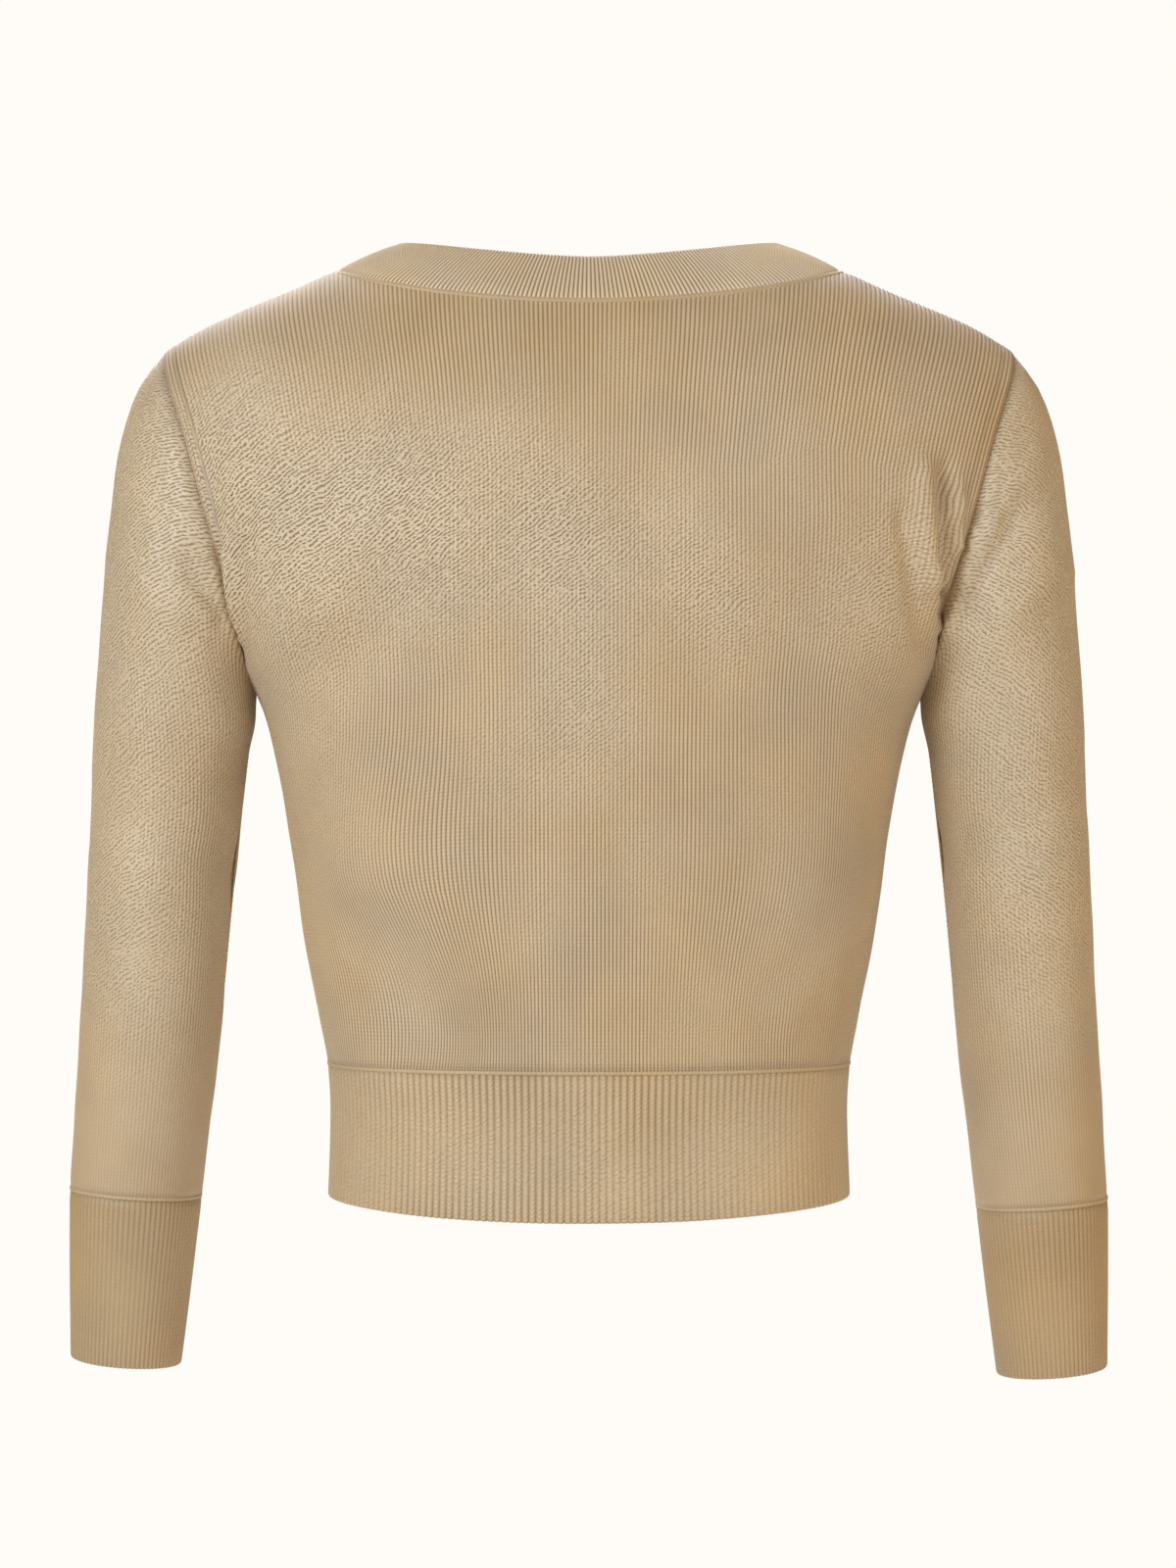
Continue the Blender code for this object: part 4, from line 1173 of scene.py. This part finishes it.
class BoleroCut(PropertyGroup):
    """Thicknesses and rib sizes, in millimetres."""

    cloth_wall: millimetres("Cloth", "Thickness of body and sleeve cloth", 1.6, 1.0, 3.0)
    band_wall: millimetres("Bands", "Thickness of hem, cuffs and bands", 2.2, 1.0, 3.0)
    fine_rib_lift: millimetres("Fine rib height", "How far a body rib stands up", 0.38, 0.0, 1.0)
    band_rib_lift: millimetres("Band rib height", "How far a band rib stands up", 0.7, 0.0, 1.5)
    hem_rib: millimetres("Hem rib", "Hem rib spacing", 3.0, 1.5, 6.0)
    cuff_rib: millimetres("Cuff rib", "Cuff rib spacing", 2.4, 1.5, 6.0)
    neck_rib: millimetres("Neck rib", "Neck and front band rib spacing", 2.0, 1.5, 6.0)
    band_swell: millimetres("Band swell", "How far the neck bands stand up midway", 1.0, 0.0, 3.0)
    seam_yarn: millimetres("Seam yarn", "Radius of the linking stitches", 0.5, 0.2, 1.0)


class BoleroDyeAndShade(PropertyGroup):
    """Colours of the knit: the yarn's own colour, with the crests painted lighter, as painted highlight, and
    the valleys and the cuffs painted darker, as painted shade.
    """

    crest: dye_and_shade_colour("Rib crests", "Body and sleeves, on the ribs", "D8C29E")
    # painted shade between the ribs, darker than the yarn
    valley: dye_and_shade_colour("Rib valleys", "Body and sleeves, between ribs", "7D6039")
    band_crest: dye_and_shade_colour("Hem crests", "Hem, on the ribs", "D0B993")
    # the cuffs' crests are painted darker than the hem's: painted shade
    cuff_crest: dye_and_shade_colour("Cuff crests", "Cuffs, on the ribs", "C3A97F")
    # painted shade between the ribs of hem and cuffs, darker than the yarn
    band_valley: dye_and_shade_colour("Hem and cuff valleys", "Hem and cuffs, between ribs", "8C6F46")
    # neck crests painted much lighter, as painted highlight, and neck valleys much darker, as painted shade
    neck_crest: dye_and_shade_colour("Neck crests", "Neck and front bands, on the ribs", "F8E4C2")
    neck_valley: dye_and_shade_colour("Neck valleys", "Neck and front bands, between ribs", "533715")
    seam: dye_and_shade_colour("Seams", "Linking stitches", "C2AA83")


class BoleroStudio(PropertyGroup):
    """The camera and the lights."""

    distance: FloatProperty(name="Camera distance", description="From the camera to the garment's middle",
                            default=1.8, min=1.0, max=6.0, unit="LENGTH")
    framed: FloatProperty(name="Framed height", description="Height that fills the picture at the middle",
                          default=0.6897, min=0.3, max=2.0, unit="LENGTH")
    key: FloatProperty(name="Key light", description="Soft light from the camera's upper left",
                       default=35.0, min=0.0, max=200.0, unit="POWER")
    fill: FloatProperty(name="Fill light", description="Weaker light from the camera's lower right",
                        default=12.0, min=0.0, max=200.0, unit="POWER")
    sides: FloatProperty(name="Side lights", description="Weak lights from the left and the right",
                         default=4.5, min=0.0, max=200.0, unit="POWER")
    sky: FloatProperty(name="Surroundings", description="Strength of the warm light from all round",
                       default=0.38, min=0.0, max=2.0)


# the studio, in metres; each light has the power that the sidebar sets, times its share
CAMERA_PLACE = (0.0004, -0.2241)
SENSOR = 36.0
FLOOR_RADIUS = 1.15
FLOOR_HEIGHT = -0.8
GARMENT_MIDDLE = (0.0, 0.0, -0.2)
Light = namedtuple("Light", "name place size setting share colour")
STUDIO_LIGHTS = rows_of(
    Light,
    ("key_light", (1.25, 1.75, 0.75), 1.1, "key", 1.0, "E1F0FF"),
    ("fill_light", (-1.2, 1.8, -0.1), 1.1, "fill", 1.0, "D7E8FF"),
    ("left_light", (2.1, 0.5, 0.1), 1.0, "sides", 0.7, "E0E6F0"),
    ("right_light", (-2.1, 0.5, 0.1), 1.0, "sides", 1.0, "FFDC98"),
    ("front_light", (0.3, -2.0, 0.9), 1.6, "key", 1.0, "F4F6FF"),
)


# ---------------------------------------------------------------- operators

class BOLERO_OT_back(Operator):
    """Knit the back panel"""
    bl_idname = "bolero.back"
    bl_label = "Back"

    def execute(self, context):
        cut, finish = context.scene.bolero_cut, finish_named("fine_viscose_rib_knit")
        make_panel("back", 1, back_places(), False, cut, finish)
        return {"FINISHED"}


class BOLERO_OT_fronts(Operator):
    """Knit the two front panels"""
    bl_idname = "bolero.fronts"
    bl_label = "Fronts"

    def execute(self, context):
        cut, finish = context.scene.bolero_cut, finish_named("fine_viscose_rib_knit")
        for side in SIDES:
            make_panel("front_" + side.name, -1, front_places(side.sign), True, cut, finish)
        return {"FINISHED"}


class BOLERO_OT_sleeves(Operator):
    """Knit the two sleeves"""
    bl_idname = "bolero.sleeves"
    bl_label = "Sleeves"

    def execute(self, context):
        cut, finish = context.scene.bolero_cut, finish_named("fine_viscose_rib_knit")
        for side in SIDES:
            make_sleeve(side, cut, finish)
        return {"FINISHED"}


class BOLERO_OT_cuffs(Operator):
    """Knit the ribbed cuffs"""
    bl_idname = "bolero.cuffs"
    bl_label = "Cuffs"

    def execute(self, context):
        cut, finish = context.scene.bolero_cut, finish_named("cuff_viscose_rib_knit")
        for side in SIDES:
            make_cuff(side, cut, finish)
        return {"FINISHED"}


class BOLERO_OT_hem(Operator):
    """Knit the ribbed hem, behind and on both fronts"""
    bl_idname = "bolero.hem"
    bl_label = "Hem"

    def execute(self, context):
        cut, finish = context.scene.bolero_cut, finish_named("hem_viscose_rib_knit")
        make_hem("hem_back", -HEM_SIDE, HEM_SIDE, 1, cut, finish)
        for side in SIDES:
            first, last = side.sign * FRONT_EDGE_OUT, side.sign * HEM_SIDE
            make_hem("hem_front_" + side.name, first, last, -1, cut, finish)
        return {"FINISHED"}


class BOLERO_OT_neck_bands(Operator):
    """Knit the band behind the neck and the two bands down the fronts"""
    bl_idname = "bolero.neck_bands"
    bl_label = "Neck and front bands"

    def execute(self, context):
        cut, finish = context.scene.bolero_cut, finish_named("neck_viscose_rib_knit")
        make_band("neck_band", *neck_seam(), cut, finish)
        for side in SIDES:
            make_band("front_band_" + side.name, *front_seam(side.sign), cut, finish)
        return {"FINISHED"}


class BOLERO_OT_seams(Operator):
    """Link the seams"""
    bl_idname = "bolero.seams"
    bl_label = "Seams"

    def execute(self, context):
        finish = finish_named("linked_seam_yarn")
        radius = context.scene.bolero_cut.seam_yarn

        def link(name, places, outward, closed=False, size=1.0, swell=0.2, flat=1.0):
            make_stitches(name, places, outward, radius * size, swell, flat, closed, finish)

        neck, _ = neck_seam()
        link("neck_seam", neck.places, -neck.rims, **NECK_ROLL)
        hem = [on_body(even_places(FRONT_EDGE_OUT * sign, HEM_SIDE * sign, -1, 200), HEM_SEAM, -1)
               for sign in (-1, 1)]
        behind = on_body(even_places(-HEM_SIDE, HEM_SIDE, 1, 400), HEM_SEAM, 1)
        waist = np.concatenate([hem[0][:-1], behind[1:-1], hem[1][::-1][1:]])
        link("hem_seam", waist, waist * (1, 1, 0), **HEM_ROLL)
        for side in SIDES:
            sign, name = side.sign, side.name
            armhole = sunk_armhole(np.linspace(-np.pi, np.pi, 721), sign)
            link("armhole_seam_" + name, armhole.places, -armhole.rims, closed=True, **ARMHOLE_ROLL)
            front, _ = front_seam(sign)
            link("front_seam_" + name, front.places[3:], -front.rims[3:], **NECK_ROLL)
            share = np.linspace(0, 1, 16)[:, None]
            collar = mix(front.places[0], np.array([sign * BAND_TOP_HALF, 0.0, BAND_SIDE_HEIGHT]), share)
            collar = collar - front.rims[0] * 4 * share * (1 - share) * context.scene.bolero_cut.band_swell
            link("band_seam_" + name, collar, collar * 0 - front.rims[0], **BAND_ROLL)
            x = np.linspace(NECK_HALF, SHOULDER[-1].out, 60)
            shoulder = point(sign * x, 0.0, shoulder_height(x))
            link("shoulder_seam_" + name, shoulder, shoulder * 0 + (0, 0, 1), **CLOTH_ROLL)
            z = np.linspace(UNDERARM, HEM_EDGE, 120)
            flank = point(sign * body_half_width(z, 1.0), 0.0, z)
            link("side_seam_" + name, flank, flank * 0 + (sign, 0, 0), **CLOTH_ROLL)
            (start, end), (_, wrist_end) = section_range(SLEEVE), section_range(CUFF)
            tubes = (SLEEVE, np.linspace(start, end, 90)), (CUFF, np.linspace(end + 2, wrist_end, 30))
            inner = np.array([ring(sections, down, np.array([np.pi]), side)[0]
                              for sections, downs in tubes for down in downs])
            link("sleeve_seam_" + name, inner, inner * 0 + (-sign, 0, 0), **CLOTH_ROLL)
            wrist = ring(SLEEVE, end, np.linspace(np.pi, -np.pi, 200), side)
            link("cuff_seam_" + name, wrist, wrist - wrist.mean(axis=0), closed=True, **HEM_ROLL)
        return {"FINISHED"}


class BOLERO_OT_studio(Operator):
    """Set up the camera, the lights and the pale floor"""
    bl_idname = "bolero.studio"
    bl_label = "Studio"

    def execute(self, context):
        studio = context.scene.bolero_studio
        add_camera(context.scene, studio)
        for light in STUDIO_LIGHTS:
            add_light(light, getattr(studio, light.setting) * light.share)
        add_surroundings(context.scene, studio.sky)
        add_floor()
        context.scene.view_settings.view_transform = "Standard"
        context.scene.view_settings.look = "None"
        return {"FINISHED"}


def add_camera(scene, studio):
    lens = bpy.data.cameras.new("camera")
    lens.sensor_width = SENSOR
    lens.lens = SENSOR * studio.distance / studio.framed
    camera = bpy.data.objects.new("camera", lens)
    camera.location = (CAMERA_PLACE[0], studio.distance, CAMERA_PLACE[1])
    camera.rotation_euler = (math.radians(90), 0.0, math.radians(180))
    scene.collection.objects.link(camera)
    scene.camera = camera


def add_light(light, power):
    """A round soft light, turned towards the garment's middle."""
    lamp = bpy.data.lights.new(light.name, "AREA")
    lamp.shape = "DISK"
    lamp.size = light.size
    lamp.energy = power
    lamp.color = linear(light.colour)[:3]
    stand = bpy.data.objects.new(light.name, lamp)
    stand.location = light.place
    away = np.array(light.place) - np.array(GARMENT_MIDDLE)
    tilt, turn = math.acos(away[2] / np.linalg.norm(away)), math.atan2(away[1], away[0])
    stand.rotation_euler = (tilt, 0.0, turn + math.pi / 2)
    bpy.context.scene.collection.objects.link(stand)


def add_surroundings(scene, strength):
    """A white backdrop, seen past the garment, which lights it only dimly and warmly."""
    world = bpy.data.worlds.new("white_surroundings")
    world.use_nodes = True
    tree = world.node_tree
    tree.nodes.clear()
    seen = add_node(tree, "ShaderNodeBackground", {"Color": linear("FFFCF7"), "Strength": 1.0})
    glow = add_node(tree, "ShaderNodeBackground", {"Color": linear("FFD698"), "Strength": strength})
    ray = add_node(tree, "ShaderNodeLightPath")
    both = add_node(tree, "ShaderNodeMixShader", {0: ray.outputs["Is Camera Ray"], 1: glow.outputs[0],
                                                  2: seen.outputs[0]})
    add_node(tree, "ShaderNodeOutputWorld", {"Surface": both.outputs[0]})
    scene.world = world


def add_floor():
    """A round pale floor under the garment."""
    mesh = bmesh.new()
    bmesh.ops.create_circle(mesh, cap_ends=True, segments=128, radius=FLOOR_RADIUS)
    bmesh.ops.translate(mesh, verts=mesh.verts[:], vec=(0.0, 0.0, FLOOR_HEIGHT))
    data = bpy.data.meshes.new("studio_floor")
    mesh.to_mesh(data)
    mesh.free()
    paper = bpy.data.materials.new("matt_white_paper")
    paper.use_nodes = True
    tree = paper.node_tree
    surface = tree.nodes["Principled BSDF"]
    surface.inputs["Base Color"].default_value = linear("F4F2EE")
    surface.inputs["Roughness"].default_value = 0.9
    data.materials.append(paper)
    floor = bpy.data.objects.new("studio_floor", data)
    bpy.context.scene.collection.objects.link(floor)


PIECES = (BOLERO_OT_back, BOLERO_OT_fronts, BOLERO_OT_sleeves, BOLERO_OT_cuffs, BOLERO_OT_hem,
          BOLERO_OT_neck_bands, BOLERO_OT_seams, BOLERO_OT_studio)


class BOLERO_PT_panel(Panel):
    """Sizes, colours and pieces of the bolero"""
    bl_idname = "BOLERO_PT_panel"
    bl_label = "Bolero"
    bl_space_type = "VIEW_3D"
    bl_region_type = "UI"
    bl_category = "Bolero"

    def draw(self, context):
        for group in (context.scene.bolero_cut, context.scene.bolero_dye, context.scene.bolero_studio):
            box = self.layout.box()
            for name in group.__annotations__:
                box.prop(group, name)
        for piece in PIECES:
            self.layout.operator(piece.bl_idname)


CLASSES = (BoleroCut, BoleroDyeAndShade, BoleroStudio) + PIECES + (BOLERO_PT_panel,)


def register():
    for cls in CLASSES:
        bpy.utils.register_class(cls)
    bpy.types.Scene.bolero_cut = PointerProperty(type=BoleroCut)
    bpy.types.Scene.bolero_dye = PointerProperty(type=BoleroDyeAndShade)
    bpy.types.Scene.bolero_studio = PointerProperty(type=BoleroStudio)


def unregister():
    for name in ("bolero_cut", "bolero_dye", "bolero_studio"):
        delattr(bpy.types.Scene, name)
    for cls in reversed(CLASSES):
        bpy.utils.unregister_class(cls)


def main():
    register()
    for piece in PIECES:
        group, name = piece.bl_idname.split(".")
        getattr(getattr(bpy.ops, group), name)()


if __name__ == "__main__":
    main()
